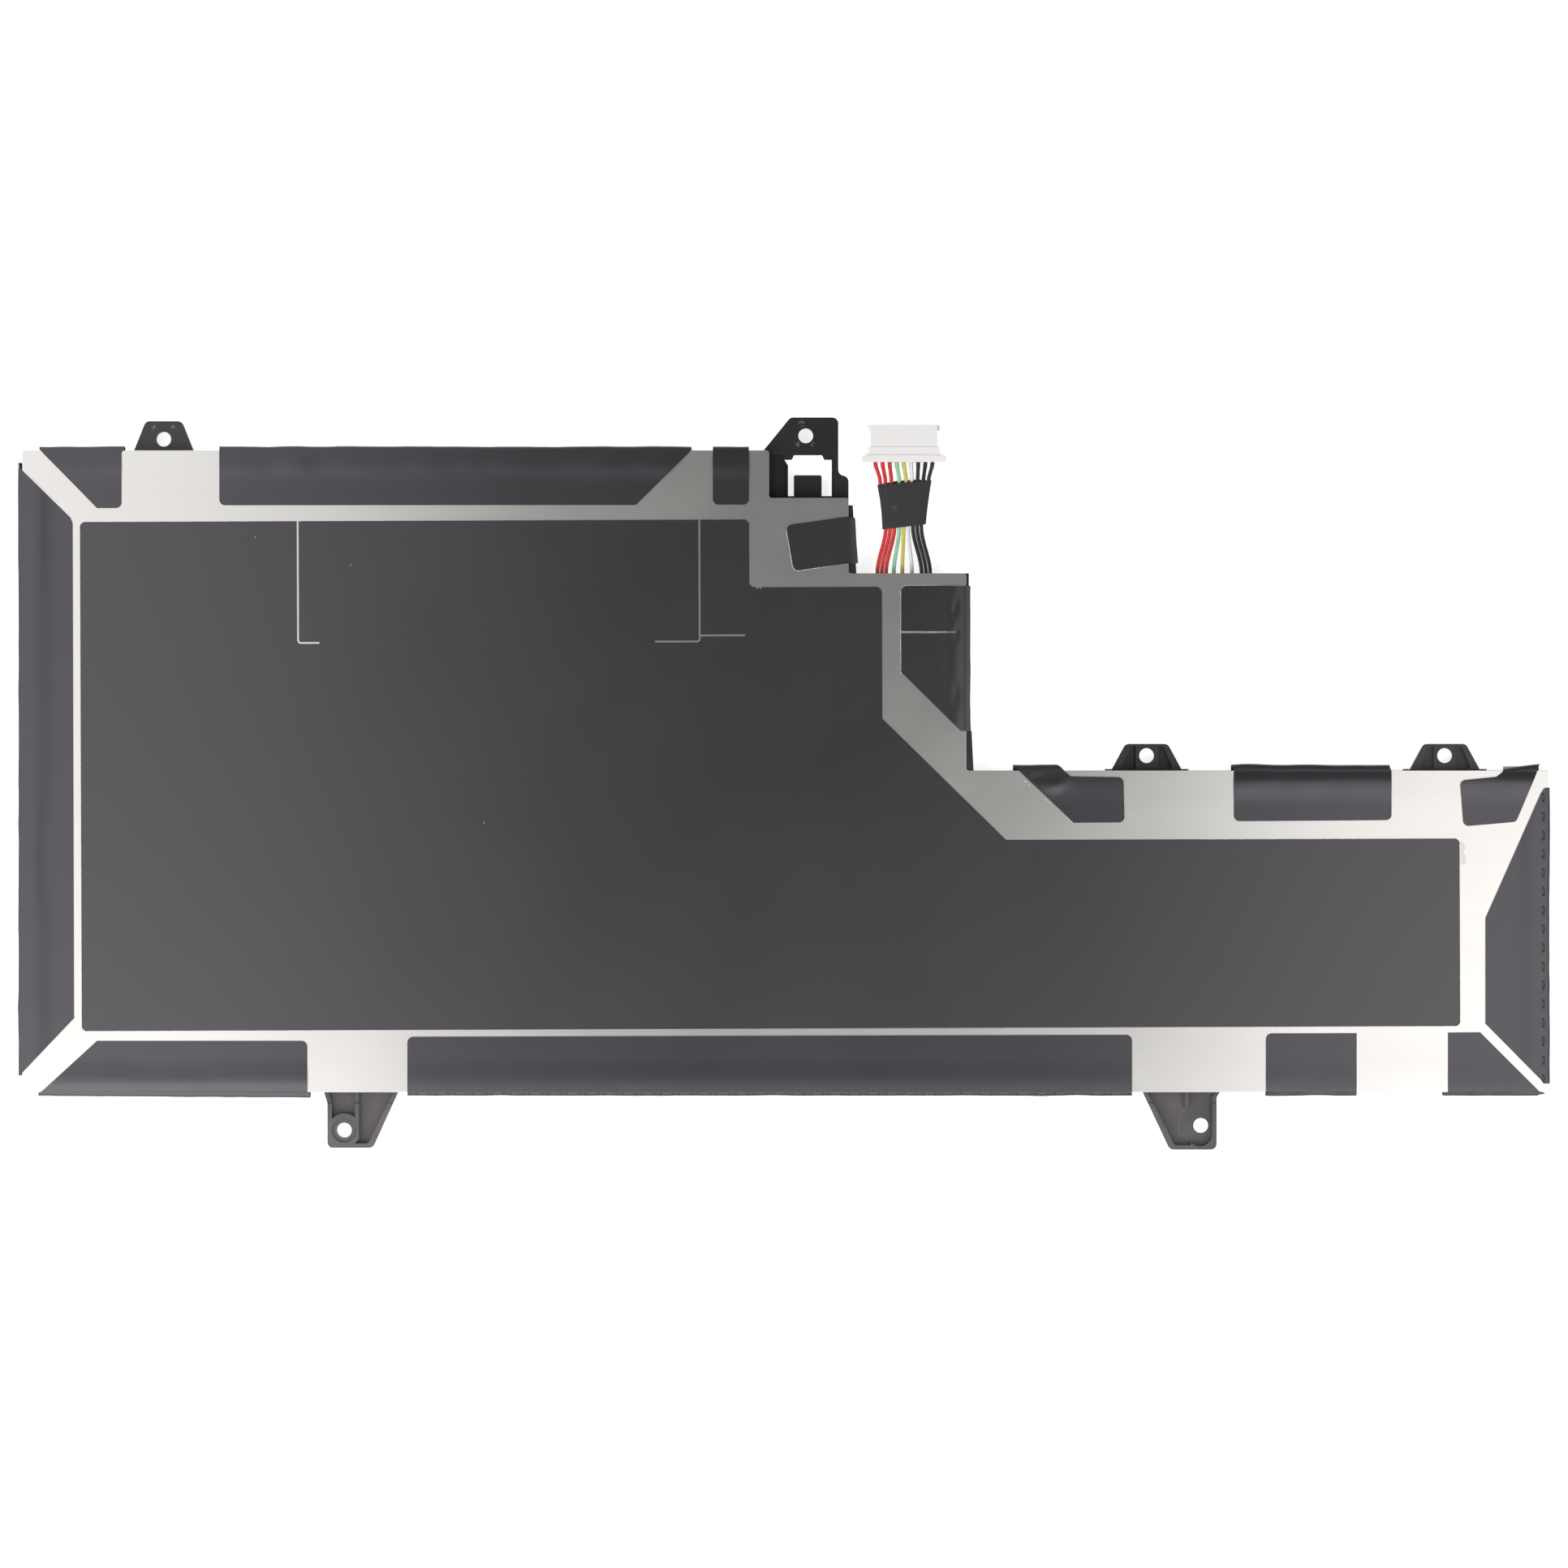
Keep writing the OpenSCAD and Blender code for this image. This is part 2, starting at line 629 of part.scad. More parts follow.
// One face of the folded film in section, with x running in from the plate's edge. The outer
// face has lift film_t, and the inner face has none. The fold stays clear of the plate's edge.
function fold_face(out, reach, lift) =
    let (in = film_t - lift, outer_r = min(fold_r, out), r = outer_r - in, d0 = outer_r - out,
         steps = 4, waves = 10, z0 = film_lift + in, z1 = plate_top_z + lift)
    concat(
        [[fold_r * 2, z0]],
        [for (k = [0:steps]) [d0 - r * sin(90 * k / steps), z0 + r - r * cos(90 * k / steps)]],
        [for (k = [0:steps]) [d0 - r * cos(90 * k / steps), z1 - r + r * sin(90 * k / steps)]],
        [for (k = [1:waves])
            let (d = d0 + (hump_run - d0) * k / waves)
            [d, z1 + hump(d, d0)]],
        [[reach, z1]]);

// The film folded up and over one straight edge. An edge is its start, the direction that runs in
// from it, its length, and how far the film stands out there.
edge_left = [[x_left, y_rear], 0, y_rear - y_front, fold_out];
edge_rear = [[x_main, y_rear], -90, x_main - x_left, fold_out];
edge_bay = [[x_bay, y_arm], 180, y_bay - y_arm, fold_out];
edge_arm = [[x_right, y_arm], -90, arm_w, fold_out_arm];
edge_right = [[x_right, y_front], 180, y_arm - y_front, fold_out_right];
edge_front = [[x_left, y_front], 90, x_right - x_left, fold_out_front];

module fold(edge, reach) {
    outer = fold_face(edge[3], reach, film_t);
    inner = fold_face(edge[3], reach, 0);
    translate(edge[0])
        rotate([90, 0, edge[1]])
            linear_extrude(height = edge[2])
                polygon(concat(outer, [for (k = [len(inner) - 1:-1:0]) inner[k]]));
}

// A flap is the fold inside an outline that is seen from above
module flap(edge, plan) {
    intersection() {
        fold(edge, flap_right + cut);
        slab(plan, -cut, plate_top_z + hump_h + cut);
    }
}

// The outline of a flap on an edge along X, from x0 to x1. side is 1 where the film runs towards
// +Y. Its ends slope in by slope0 and slope1 for each unit of its width, and its inner edge rises by
// tilt for each unit of its length. A sloping end can be cut straight, tip0 or tip1 in from its point.
function flap_x(x0, x1, y, side, width, slope0, slope1, r0, r1, tilt = 0, tip0 = 0, tip1 = 0) =
    let (outside = y - side * 2 * cut, far_width = width + tilt * (x1 - x0),
         point0 = tip0 > 0 ? tip0 / slope0 : 0,
         point1 = tip1 > 0 ? tip1 / slope1 : 0)
    rounded([[x0 + tip0, outside], [x0 + tip0, y + side * point0],
             [x0 + slope0 * width, y + side * width],
             [x1 - slope1 * far_width, y + side * far_width],
             [x1 - tip1, y + side * point1], [x1 - tip1, outside]],
            [0, 0, r0, r1, 0, 0]);

// The same on an edge along Y, from y0 to y1
function flap_y(y0, y1, x, side, width, slope0, slope1, r0, r1, tip0, tip1) =
    [for (p = flap_x(y0, y1, x, side, width, slope0, slope1, r0, r1, 0, tip0, tip1)) [p[1], p[0]]];

// Mitred ends of the flaps, measured from the plate's corners
mitre_left_rear = 3.3;
mitre_left_front = 3.4;
left_rear_slope = 0.97;
left_front_slope = 1.1;
mitre_rear = 3;
mitre_front_left = 3;
front_left_slope = 1.12;
mitre_front_right = 1.4;
mitre_right_front = 0.8;
mitre_right_rear = 1.4;
right_rear_slope = 2.22;
right_rear_tip = 1.6;
// How much wider than flap_rear and flap_front the other flaps at the back and front are
rear_corner_extra = 0.5;
front_corner_extra = -0.85;
front_long_extra = -0.15;
front_far_extra = 0.45;
front_end_extra = 0.6;
front_tilt = 0.0027;
// Gaps between the flaps and the screw holes beside them
left_lug_gap = 7.3;
left_lug_gap_right = 9.8;
strap_gap = 13.6;
near_lug_gap = 6.4;
near_lug_gap_right = 11.1;
far_lug_gap = 12.1;
far_lug_gap_right = 11.3;
front_flap_w = 15.9;
front_flap_gap = 15.8;
arm_lug_gap = 9.4;
arm_lug_gap_left = 15.2;
// The flap beside the bay
bay_flap_gap = 2.2;
bay_flap_up = 5.95;
bay_flap_slope = 0.99;
bay_flap_tip = 0.95;
bay_flap_slit_down = 10.5;
bay_flap_slit_in = 1.85;
// The two flaps behind the arm whose ends reach sideways past a lug
corner_flap_in = 9.4;
corner_flap_w = 7;
corner_flap_slope = 1.02;
corner_flap_gap = 3.9;
corner_flap_extra = 0.35;
end_flap_in = 7.5;
end_flap_w = 6;
end_flap_slope = 0.45;
end_flap_gap = 2.7;
side_reach_in = 1.1;
side_reach_neck = 1.9;
end_flap_skew = 0.6;

module wrap_film() {
    far_flap_x = front_far_x + far_lug_gap_right + front_flap_w;
    corner_x = x_bay + corner_flap_in;
    corner_root_x = corner_x + corner_flap_w;
    corner_d = flap_arm + corner_flap_extra;
    end_x = x_right - end_flap_in;
    arm_out_y = y_arm + 2 * cut;
    slit_y = y_bay - bay_flap_slit_down;
    color([0.26, 0.25, 0.27]) {
        difference() {
            union() {
                slab(evenly(pack_outline(0), plate_r), film_lift, frame_z);
                flap(edge_left, flap_y(y_front + mitre_left_front, y_rear - mitre_left_rear, x_left, 1,
                                       flap_left, left_front_slope, left_rear_slope, 0, 0, 0, 0));
                flap(edge_rear, flap_x(x_left + mitre_rear, left_hole_x - left_lug_gap, y_rear, -1,
                                       flap_rear + rear_corner_extra, 1, 0, 0, film_r));
                flap(edge_rear, flap_x(left_hole_x + left_lug_gap_right, x_main - strap_gap, y_rear, -1,
                                       flap_rear, 0, 1, film_r, 0));
                flap(edge_bay, flap_y(y_arm + bay_flap_up, y_bay - bay_flap_gap, x_bay, -1,
                                      flap_bay, bay_flap_slope, 0, 0, film_r, bay_flap_tip, 0));
                flap(edge_arm, flap_x(arm_near_x + arm_lug_gap_left, arm_far_x - arm_lug_gap, y_arm, -1,
                                      flap_arm, 0, 0, film_r, film_r));
                flap(edge_arm, rounded([[corner_x, arm_out_y], [corner_root_x, arm_out_y],
                                        [corner_root_x, y_arm],
                                        [corner_root_x + side_reach_neck, y_arm - side_reach_in],
                                        [arm_near_x - corner_flap_gap, y_arm - side_reach_in],
                                        [arm_near_x - corner_flap_gap, y_arm - corner_d],
                                        [corner_x + corner_flap_slope * corner_d, y_arm - corner_d],
                                        [corner_x, y_arm]],
                                       [0, 0, 0, 0, film_r, film_r, 0, 0]));
                flap(edge_arm, rounded([[end_x, arm_out_y], [end_x + end_flap_w, arm_out_y],
                                        [end_x + end_flap_w, y_arm],
                                        [end_x + end_flap_w - end_flap_slope * flap_arm,
                                         y_arm - flap_arm],
                                        [arm_far_x + end_flap_gap, y_arm - flap_arm - end_flap_skew],
                                        [arm_far_x + end_flap_gap,
                                         y_arm - side_reach_in - end_flap_skew],
                                        [end_x - side_reach_neck, y_arm - side_reach_in],
                                        [end_x, y_arm]],
                                       [0, 0, 0, film_r, film_r, film_r, 0, 0]));
                flap(edge_right, flap_y(y_front + mitre_right_front, y_arm - mitre_right_rear, x_right, -1,
                                        flap_right, 1, right_rear_slope, 0, 0, 0, right_rear_tip));
                flap(edge_front, flap_x(x_left + mitre_front_left, front_near_x - near_lug_gap, y_front, 1,
                                        flap_front + front_corner_extra, front_left_slope, 0, film_r,
                                        film_r));
                flap(edge_front, flap_x(front_near_x + near_lug_gap_right, front_far_x - far_lug_gap,
                                        y_front, 1, flap_front + front_long_extra, 0, 0, film_r, film_r,
                                        front_tilt));
                flap(edge_front, flap_x(front_far_x + far_lug_gap_right, far_flap_x, y_front, 1,
                                        flap_front + front_far_extra, 0, 0, film_r, 0));
                flap(edge_front, flap_x(far_flap_x + front_flap_gap, x_right - mitre_front_right, y_front, 1,
                                        flap_front + front_end_extra, 0, 1, 0, 0));
            }
            // Slit across the flap beside the bay
            block(x_bay - flap_bay - cut, x_bay - bay_flap_slit_in, slit_y, slit_y + slit_w, plate_z,
                  plate_top_z + hump_h + cut);
        }
    }
}

// The strap is a strip of the same film, stuck on the plate and down the rear wall
strap_right = 3.55;
strap_w = 6.3;
strap_reach = 9.5;

module strap_tape() {
    x1 = x_main - strap_right;
    color([0.26, 0.25, 0.27])
        intersection() {
            fold(edge_rear, flap_rear + cut);
            slab(flap_x(x1 - strap_w, x1, y_rear, -1, strap_reach, 0, 0, film_r, film_r),
                 frame_z, plate_top_z + hump_h + cut);
        }
}

// The side tape holds the latch wall. It lies flat on the plate and turns down over the wall. Its
// corners are measured from the corner between the bay and the latch recess.
side_tape_corners = [[-9.2, 0.2], [2, 2], [2, 10.1], [-10.9, 8]];

module side_tape() {
    color([0.26, 0.25, 0.27])
        difference() {
            intersection() {
                slab(evenly([for (p = side_tape_corners) [x_latch, y_bay] + p], film_r), board_z,
                     plate_top_z + film_t);
                slab(latch_wall(x_main, film_t), board_z, plate_top_z + film_t);
            }
            // The plate and the wall that it lies against
            slab(latch_wall(x_main - cut, 0), 0, plate_top_z);
        }
}

// Cells

cell_edge_r = 1.2;
terrace_t = 0.4;
terrace_in = 1.5;
tab_seal = 2;
tab_weld = 2;
tape_in = 7;
front_cell_y0 = y_front + wall_t + fit;
front_cell_y1 = mid_rib_y0 - fit;
rear_cell_y0 = mid_rib_y1 + fit;
rear_cell_y1 = y_rear - wall_t - fit;
arm_cell_y1 = y_arm - wall_t - fit;
arm_cell_x1 = x_right - wall_t - fit;
// Each cell is its blunt end, the end of its terrace, and its front and rear side
CELLS = [[x_left + wall_t + fit, left_cells_x1, rear_cell_y0, rear_cell_y1],
         [x_left + wall_t + fit, left_cells_x1, front_cell_y0, front_cell_y1],
         [arm_cell_x1, arm_cell_x0, front_cell_y0, arm_cell_y1]];

// Places a cell's pieces so that X runs from the end of its terrace towards its body
module at_cell(cell) {
    translate([cell[1], (cell[2] + cell[3]) / 2, 0])
        rotate([0, 0, cell[0] < cell[1] ? 180 : 0])
            children();
}

module cell_body(cell) {
    length = abs(cell[0] - cell[1]);
    half = (cell[3] - cell[2]) / 2;
    profile = evenly([[-half, frame_z], [half, frame_z], [half, cell_top_z], [-half, cell_top_z]],
                     cell_edge_r);
    color([0.78, 0.78, 0.76])
        at_cell(cell)
            difference() {
                union() {
                    translate([terrace_d, 0, 0])
                        rotate([90, 0, 90])
                            linear_extrude(height = length - terrace_d)
                                polygon(profile);
                    block(0, terrace_d, terrace_in - half, half - terrace_in, tab_z - terrace_t / 2,
                          tab_z + tab_t + terrace_t / 2);
                }
                for (y = [-tab_pitch / 2, tab_pitch / 2])
                    block(-cut, tab_seal, y - tab_w / 2, y + tab_w / 2, tab_z, tab_z + tab_t);
            }
}

// A tab runs from inside its cell's sealed terrace to its weld on the board's tail
module cell_tab(cell, y, shade) {
    color(shade)
        at_cell(cell)
            block(-tail_gap - tab_weld, tab_seal, y - tab_w / 2, y + tab_w / 2, tab_z, tab_z + tab_t);
}

module cell_tape(cell) {
    half = (cell[3] - cell[2]) / 2 - tape_in;
    color([0.9, 0.9, 0.85])
        at_cell(cell)
            block(terrace_d + tape_in, abs(cell[0] - cell[1]) - tape_in, -half, half, cell_top_z, plate_z);
}

// Circuit board

board_x1 = x_bay - wall_t - play;
board_y0 = y_arm + play;
board_y1 = y_bay - wall_t - play;
board_w = board_x1 - tail_x1;
board_d = board_y1 - board_y0;
board_top_z = board_z + board_t;
tail_y0 = y_front + wall_t + play;
tail_y1 = y_latch - wall_t - play;
tail_d = tail_y1 - tail_y0;

module circuit_board() {
    color([0.1, 0.32, 0.2])
        slab([[tail_x0, tail_y0], [tail_x1, tail_y0], [tail_x1, board_y0], [board_x1, board_y0],
              [board_x1, board_y1], [tail_x1, board_y1], [tail_x1, tail_y1], [tail_x0, tail_y1]],
             board_z, board_top_z);
}

module board_insulator() {
    color([0.85, 0.8, 0.55])
        block(tail_x1 + play, board_x1, board_y0, board_y1, plate_z - insulator_t, plate_z);
}

// A component on the board. Its place is its centre, as a share of the board's width and depth
// in the bay.
module component(place, w, d, h) {
    x = tail_x1 + place[0] * board_w;
    y = board_y0 + place[1] * board_d;
    block(x - w / 2, x + w / 2, y - d / 2, y + d / 2, board_top_z, board_top_z + h);
}

gauge_chip_share = [0.32, 0.32];
gauge_chip_w = 5;
chip_h = 0.9;
protector_chip_share = [0.62, 0.2];
protector_chip_w = 3.5;
charge_share = [0.2, 0.7];
discharge_share = [0.2, 0.88];
transistor_w = 5;
transistor_d = 4;
fuse_share = [0.62, 0.45];
fuse_w = 5;
fuse_d = 3.2;
shunt_share = [0.9, 0.3];
shunt_w = 3.2;
shunt_d = 6.3;
shunt_h = 0.6;
capacitor_shares = [[0.08, 0.1], [0.08, 0.2], [0.08, 0.3], [0.08, 0.4], [0.32, 0.1], [0.42, 0.1],
                    [0.5, 0.33], [0.5, 0.22], [0.8, 0.08], [0.9, 0.08]];
capacitor_w = 1.6;
capacitor_d = 0.8;
capacitor_h = 0.8;
thermistor_share = 0.42;
thermistor_d = 2;
thermistor_h = 1.2;

module gauge_chip() {
    color([0.12, 0.12, 0.12])
        component(gauge_chip_share, gauge_chip_w, gauge_chip_w, chip_h);
}

module protector_chip() {
    color([0.12, 0.12, 0.12])
        component(protector_chip_share, protector_chip_w, protector_chip_w, chip_h);
}

module transistor(place) {
    color([0.14, 0.14, 0.15])
        component(place, transistor_w, transistor_d, chip_h);
}

module cell_fuse() {
    color([0.85, 0.85, 0.8])
        component(fuse_share, fuse_w, fuse_d, chip_h);
}

module shunt_resistor() {
    color([0.45, 0.4, 0.35])
        component(shunt_share, shunt_w, shunt_d, shunt_h);
}

module thermistor() {
    color([0.1, 0.1, 0.1])
        post(tail_x, tail_y0 + thermistor_share * tail_d, thermistor_d, board_top_z,
             board_top_z + thermistor_h);
}

module chip_capacitors() {
    color([0.7, 0.6, 0.45])
        for (place = capacitor_shares)
            component(place, capacitor_w, capacitor_d, capacitor_h);
}

// Cable, measured from its middle at the bay's edge. Each wire runs from its joint on the board, out
// under the plate and through the tape to its contact. The points across are listed at the joint,
// the plate, both ends of the tape and the plug.
route_y = [-9.3, 0, 8.2, 16, 19.5];
route_z = [2.8, 2.8, 2.3, 2.2, 2.2];
route_x = [[-4.8, -4.65, -3.15, -4.15, -5], [-3.9, -3.9, -2.4, -3.25, -3.75],
           [-3, -3.15, -1.65, -2.2, -2.5], [-1.6, -1.8, -0.8, -0.8, -1.25],
           [-0.2, -0.3, -0.05, 0.4, 0], [1.2, 1.4, 0.7, 1.4, 1.25],
           [2.8, 3.1, 1.55, 2.4, 2.5], [3.7, 3.85, 2.3, 3.4, 3.75],
           [4.6, 4.6, 3.05, 4.3, 5]];
wire_end_y = 21;
ring_y = [-9.3, -1.3, 2.2, 5.9, 8.7, 15.5, 17.7, 19.5, wire_end_y];
wire_sides = 8;

// The value at y of a smooth curve through values at the stations in route_y
function along_route(values, y, k = 0) =
    y >= route_y[4] ? values[4]
    : y > route_y[k + 1] ? along_route(values, y, k + 1)
    : let (t = (y - route_y[k]) / (route_y[k + 1] - route_y[k]), s = t * t * (3 - 2 * t))
      values[k] + (values[k + 1] - values[k]) * s;

// A tube through rings that stand across Y
module wire(i) {
    n = wire_sides;
    last = (len(ring_y) - 1) * n;
    points = [for (y = ring_y)
                  for (k = [0:n - 1])
                      [along_route(route_x[i], y) + wire_d / 2 * cos(360 * (k + 0.5) / n), y,
                       along_route(route_z, y) + wire_d / 2 * sin(360 * (k + 0.5) / n)]];
    sides = [for (r = [0:len(ring_y) - 2])
                 for (k = [0:n - 1])
                     let (a = r * n + k, b = r * n + (k + 1) % n)
                     for (f = [[a, b, b + n], [a, b + n, a + n]])
                         f];
    color(WIRE_COLORS[i])
        translate([cable_x, y_bay, 0])
            polyhedron(points, concat([[for (k = [n - 1:-1:0]) k]], sides,
                                      [[for (k = [0:n - 1]) last + k]]));
}

joint_w = 0.6;
joint_l = 1.2;
joint_h = 0.5;

module solder_joints() {
    color([0.75, 0.75, 0.75])
        translate([cable_x, y_bay, 0])
            for (x = route_x)
                block(x[0] - joint_w / 2, x[0] + joint_w / 2, route_y[0] - joint_l, route_y[0],
                      board_top_z, board_top_z + joint_h);
}

// The tape round the wires is a flat sleeve that widens towards the plug and was wound on askew
sleeve_skew = 0.45;
sleeve_gap = 0.15;

module harness_tape() {
    reach = wire_d / 2 + sleeve_gap;
    last = len(route_x) - 1;
    y0 = route_y[2];
    y1 = route_y[3];
    x_low = [route_x[0][2] - reach, route_x[last][2] + reach];
    x_high = [route_x[0][3] - reach, route_x[last][3] + reach];
    z = (route_z[2] + route_z[3]) / 2;
    half = reach + (route_z[2] - route_z[3]) / 2;
    color([0.22, 0.22, 0.22])
        translate([cable_x, y_bay, 0])
            difference() {
                slab([[x_low[0] - sleeve_t, y0 - sleeve_skew], [x_low[1] + sleeve_t, y0 + sleeve_skew],
                      [x_high[1] + sleeve_t, y1 + sleeve_skew],
                      [x_high[0] - sleeve_t, y1 - sleeve_skew]],
                     z - half - sleeve_t, z + half + sleeve_t);
                slab([[x_low[0], y0 - cut], [x_low[1], y0 - cut], [x_low[1], y0], [x_high[1], y1],
                      [x_high[1], y1 + cut], [x_high[0], y1 + cut], [x_high[0], y1], [x_low[0], y0]],
                     z - half, z + half);
            }
}

// Plug, measured from the middle of its row of contacts
plug_y = y_bay + route_y[4];
row_w = 8 * contact_pitch;
plug_side = 0.85;
flange_side = 2.4;
flange_d = 1.2;
shoulder_side = 1.25;
shoulder_d = 0.9;
// The shoulder slopes out to the flange
shoulder_toe = 0.4;
shoulder_slope = 0.55;
// The body lies lower than the flange's top
body_drop = 0.2;
lip_side = 1.25;
lip_d = 1;
lip_t = 1;
cavity_w = 1;
cavity_h = 1.4;
contact_gap = 0.04;
key_w = 1.6;
key_t = 0.5;

module plug_housing() {
    half = row_w / 2;
    mouth_y = plug_y + plug_d;
    flange_y = plug_y + flange_d;
    slope_y = flange_y + shoulder_slope;
    shoulder_x = half + shoulder_side;
    toe_x = shoulder_x + shoulder_toe;
    z = plug_h / 2;
    color([0.9, 0.89, 0.87])
        translate([cable_x, 0, 0])
            difference() {
                union() {
                    block(-half - plug_side, half + plug_side, plug_y + fit, mouth_y, key_t,
                          plug_h - body_drop);
                    // Flange round the wire end, and the shoulder behind it
                    slab(evenly([[-half - flange_side, plug_y], [half + flange_side, plug_y],
                                 [half + flange_side, flange_y], [-half - flange_side, flange_y]],
                                play), 0, plug_h);
                    slab([[-toe_x, plug_y + fit], [toe_x, plug_y + fit], [toe_x, flange_y],
                          [shoulder_x, slope_y], [shoulder_x, slope_y + shoulder_d],
                          [-shoulder_x, slope_y + shoulder_d], [-shoulder_x, slope_y],
                          [-toe_x, flange_y]], play, plug_h - body_drop / 2);
                    // Lips at the mouth's ends, and the locking keys underneath
                    block(-half - lip_side, half + lip_side, mouth_y - lip_d, mouth_y, z - lip_t,
                          z + lip_t);
                    for (side = [-1, 1])
                        block(side * half / 2 - key_w / 2, side * half / 2 + key_w / 2, plug_y + fit,
                              mouth_y - lip_d, fit, 2 * key_t);
                }
                for (i = [0:8])
                    let (x = i * contact_pitch - half)
                        block(x - cavity_w / 2, x + cavity_w / 2, plug_y - cut, mouth_y + cut,
                              z - cavity_h / 2, z + cavity_h / 2);
            }
}

// A contact is a spring box with a barrel behind it that grips the wire
module contact(i) {
    x = cable_x + (i - 4) * contact_pitch;
    half = cavity_w / 2 - contact_gap;
    barrel = wire_d / 2 + contact_gap;
    z = plug_h / 2;
    barrel_y = y_bay + wire_end_y;
    box_y = barrel_y + contact_pitch;
    color([0.8, 0.7, 0.4]) {
        block(x - barrel, x + barrel, barrel_y, box_y, z - barrel, z + barrel);
        difference() {
            block(x - half, x + half, box_y, plug_y + plug_d - play, z - cavity_h / 2 + contact_gap,
                  z + cavity_h / 2 - contact_gap);
            block(x - half / 2, x + half / 2, box_y + play, plug_y + plug_d, z - half / 2, z + half / 2);
        }
    }
}

frame();
steel_plate();
plate_film();
wrap_film();
strap_tape();
side_tape();
circuit_board();
board_insulator();
gauge_chip();
protector_chip();
transistor(charge_share);  // charge_transistor
transistor(discharge_share);  // discharge_transistor
cell_fuse();
shunt_resistor();
thermistor();
chip_capacitors();
solder_joints();
harness_tape();
plug_housing();
for (i = [1:3]) {
    cell_body(CELLS[i - 1]);
    cell_tape(CELLS[i - 1]);
    cell_tab(CELLS[i - 1], tab_pitch / 2, [0.85, 0.85, 0.86]);
    cell_tab(CELLS[i - 1], -tab_pitch / 2, [0.75, 0.68, 0.55]);
}
for (i = [0:8]) {
    wire(i);
    contact(i);
}
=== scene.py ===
# Laptop battery pack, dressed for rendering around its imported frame.
# Sizes are in millimetres unless a name says otherwise, and become metres when a mesh is made.
import math

import bmesh
import bpy
from mathutils import Matrix, Vector, geometry, noise


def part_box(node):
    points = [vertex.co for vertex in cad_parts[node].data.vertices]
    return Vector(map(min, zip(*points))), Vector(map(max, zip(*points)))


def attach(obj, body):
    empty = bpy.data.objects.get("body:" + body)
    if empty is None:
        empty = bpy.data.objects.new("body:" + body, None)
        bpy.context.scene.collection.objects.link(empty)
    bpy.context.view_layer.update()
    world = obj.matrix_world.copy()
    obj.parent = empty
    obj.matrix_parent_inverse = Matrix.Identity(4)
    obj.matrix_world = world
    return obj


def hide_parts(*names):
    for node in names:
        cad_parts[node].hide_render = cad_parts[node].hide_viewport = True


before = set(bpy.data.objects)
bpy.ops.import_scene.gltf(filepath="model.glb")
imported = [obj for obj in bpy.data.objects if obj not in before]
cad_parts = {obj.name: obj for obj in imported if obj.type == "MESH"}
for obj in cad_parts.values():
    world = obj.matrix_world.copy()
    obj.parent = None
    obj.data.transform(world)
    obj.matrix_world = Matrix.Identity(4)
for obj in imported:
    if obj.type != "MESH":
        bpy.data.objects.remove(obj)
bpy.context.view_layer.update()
mm = 0.001
scene = bpy.context.scene
print("frame loaded:", len(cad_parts), "nodes")

# The plate's edges and the heights that everything is measured from
plateLow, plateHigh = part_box("steel_plate")
pack = {
    "left": plateLow.x / mm,
    "right": plateHigh.x / mm,
    "front": plateLow.y / mm,
    "rear": plateHigh.y / mm,
    "bay": 31.9,  # right edge of the part that the cable leaves from
    "latch": 11.3,  # right edge of the part with the latch
    "main": -2.6,  # right edge of the rearmost part
    "arm": 2.3,  # rear edge of the arm
    "bayRear": 36.8,
    "latchRear": 50.0,
    "plateTop": plateHigh.z / mm,
    "filmUnder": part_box("wrap_film")[0].z / mm,
}

# Camera
cameraSet = {
    "distance": 3.0,  # metres above the plate
    "widthSeen": 0.27434,  # metres at the plate's height that fill the picture
    "sensor": 36.0,
    "shiftBack": 0.00007,
    "clip": (0.05, 20),
}


def addCamera(c):
    data = bpy.data.cameras.new("camera")
    data.sensor_width = c["sensor"]
    data.lens = c["sensor"] * c["distance"] / c["widthSeen"]
    data.clip_start, data.clip_end = c["clip"]
    camera = bpy.data.objects.new("camera", data)
    scene.collection.objects.link(camera)
    camera.location = (0, -c["shiftBack"], pack["plateTop"] * mm + c["distance"])
    scene.camera = camera


addCamera(cameraSet)
print("camera placed")


# Mesh helpers
def addObject(name, data):
    made = bpy.data.objects.new(name, data)
    scene.collection.objects.link(made)
    return made


def meshObject(name, points, faces, smooth=True):
    data = bpy.data.meshes.new(name)
    data.from_pydata([Vector(p) * mm for p in points], [], faces)
    for face in data.polygons:
        face.use_smooth = smooth
    data.update()
    return addObject(name, data)


# Body and replaced nodes of a piece: it goes on the root body, and the nodes that it replaces are
# hidden. The slot that is given is not used.
def finishPiece(piece, slot, *replaced):
    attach(piece, "root")
    if replaced:
        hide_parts(*replaced)


def smoothStep(t):
    t = min(max(t, 0.0), 1.0)
    return t * t * (3 - 2 * t)


# Points and faces of a closed tube along a path
def tube(path, radius, sides):
    points, faces = [], []
    for i, p in enumerate(path):
        ahead = (path[min(i + 1, len(path) - 1)] - path[max(i - 1, 0)]).normalized()
        across = ahead.cross(Vector((0, 0, 1))).normalized()
        up = across.cross(ahead)
        for k in range(sides):
            a = 2 * math.pi * k / sides
            points.append(p + (across * math.cos(a) + up * math.sin(a)) * radius)
    for i in range(len(path) - 1):
        for k in range(sides):
            a, b = i * sides + k, i * sides + (k + 1) % sides
            faces.append((a, b, b + sides, a + sides))
    faces.append(tuple(range(sides))[::-1])
    faces.append(tuple(range((len(path) - 1) * sides, len(path) * sides)))
    return points, faces


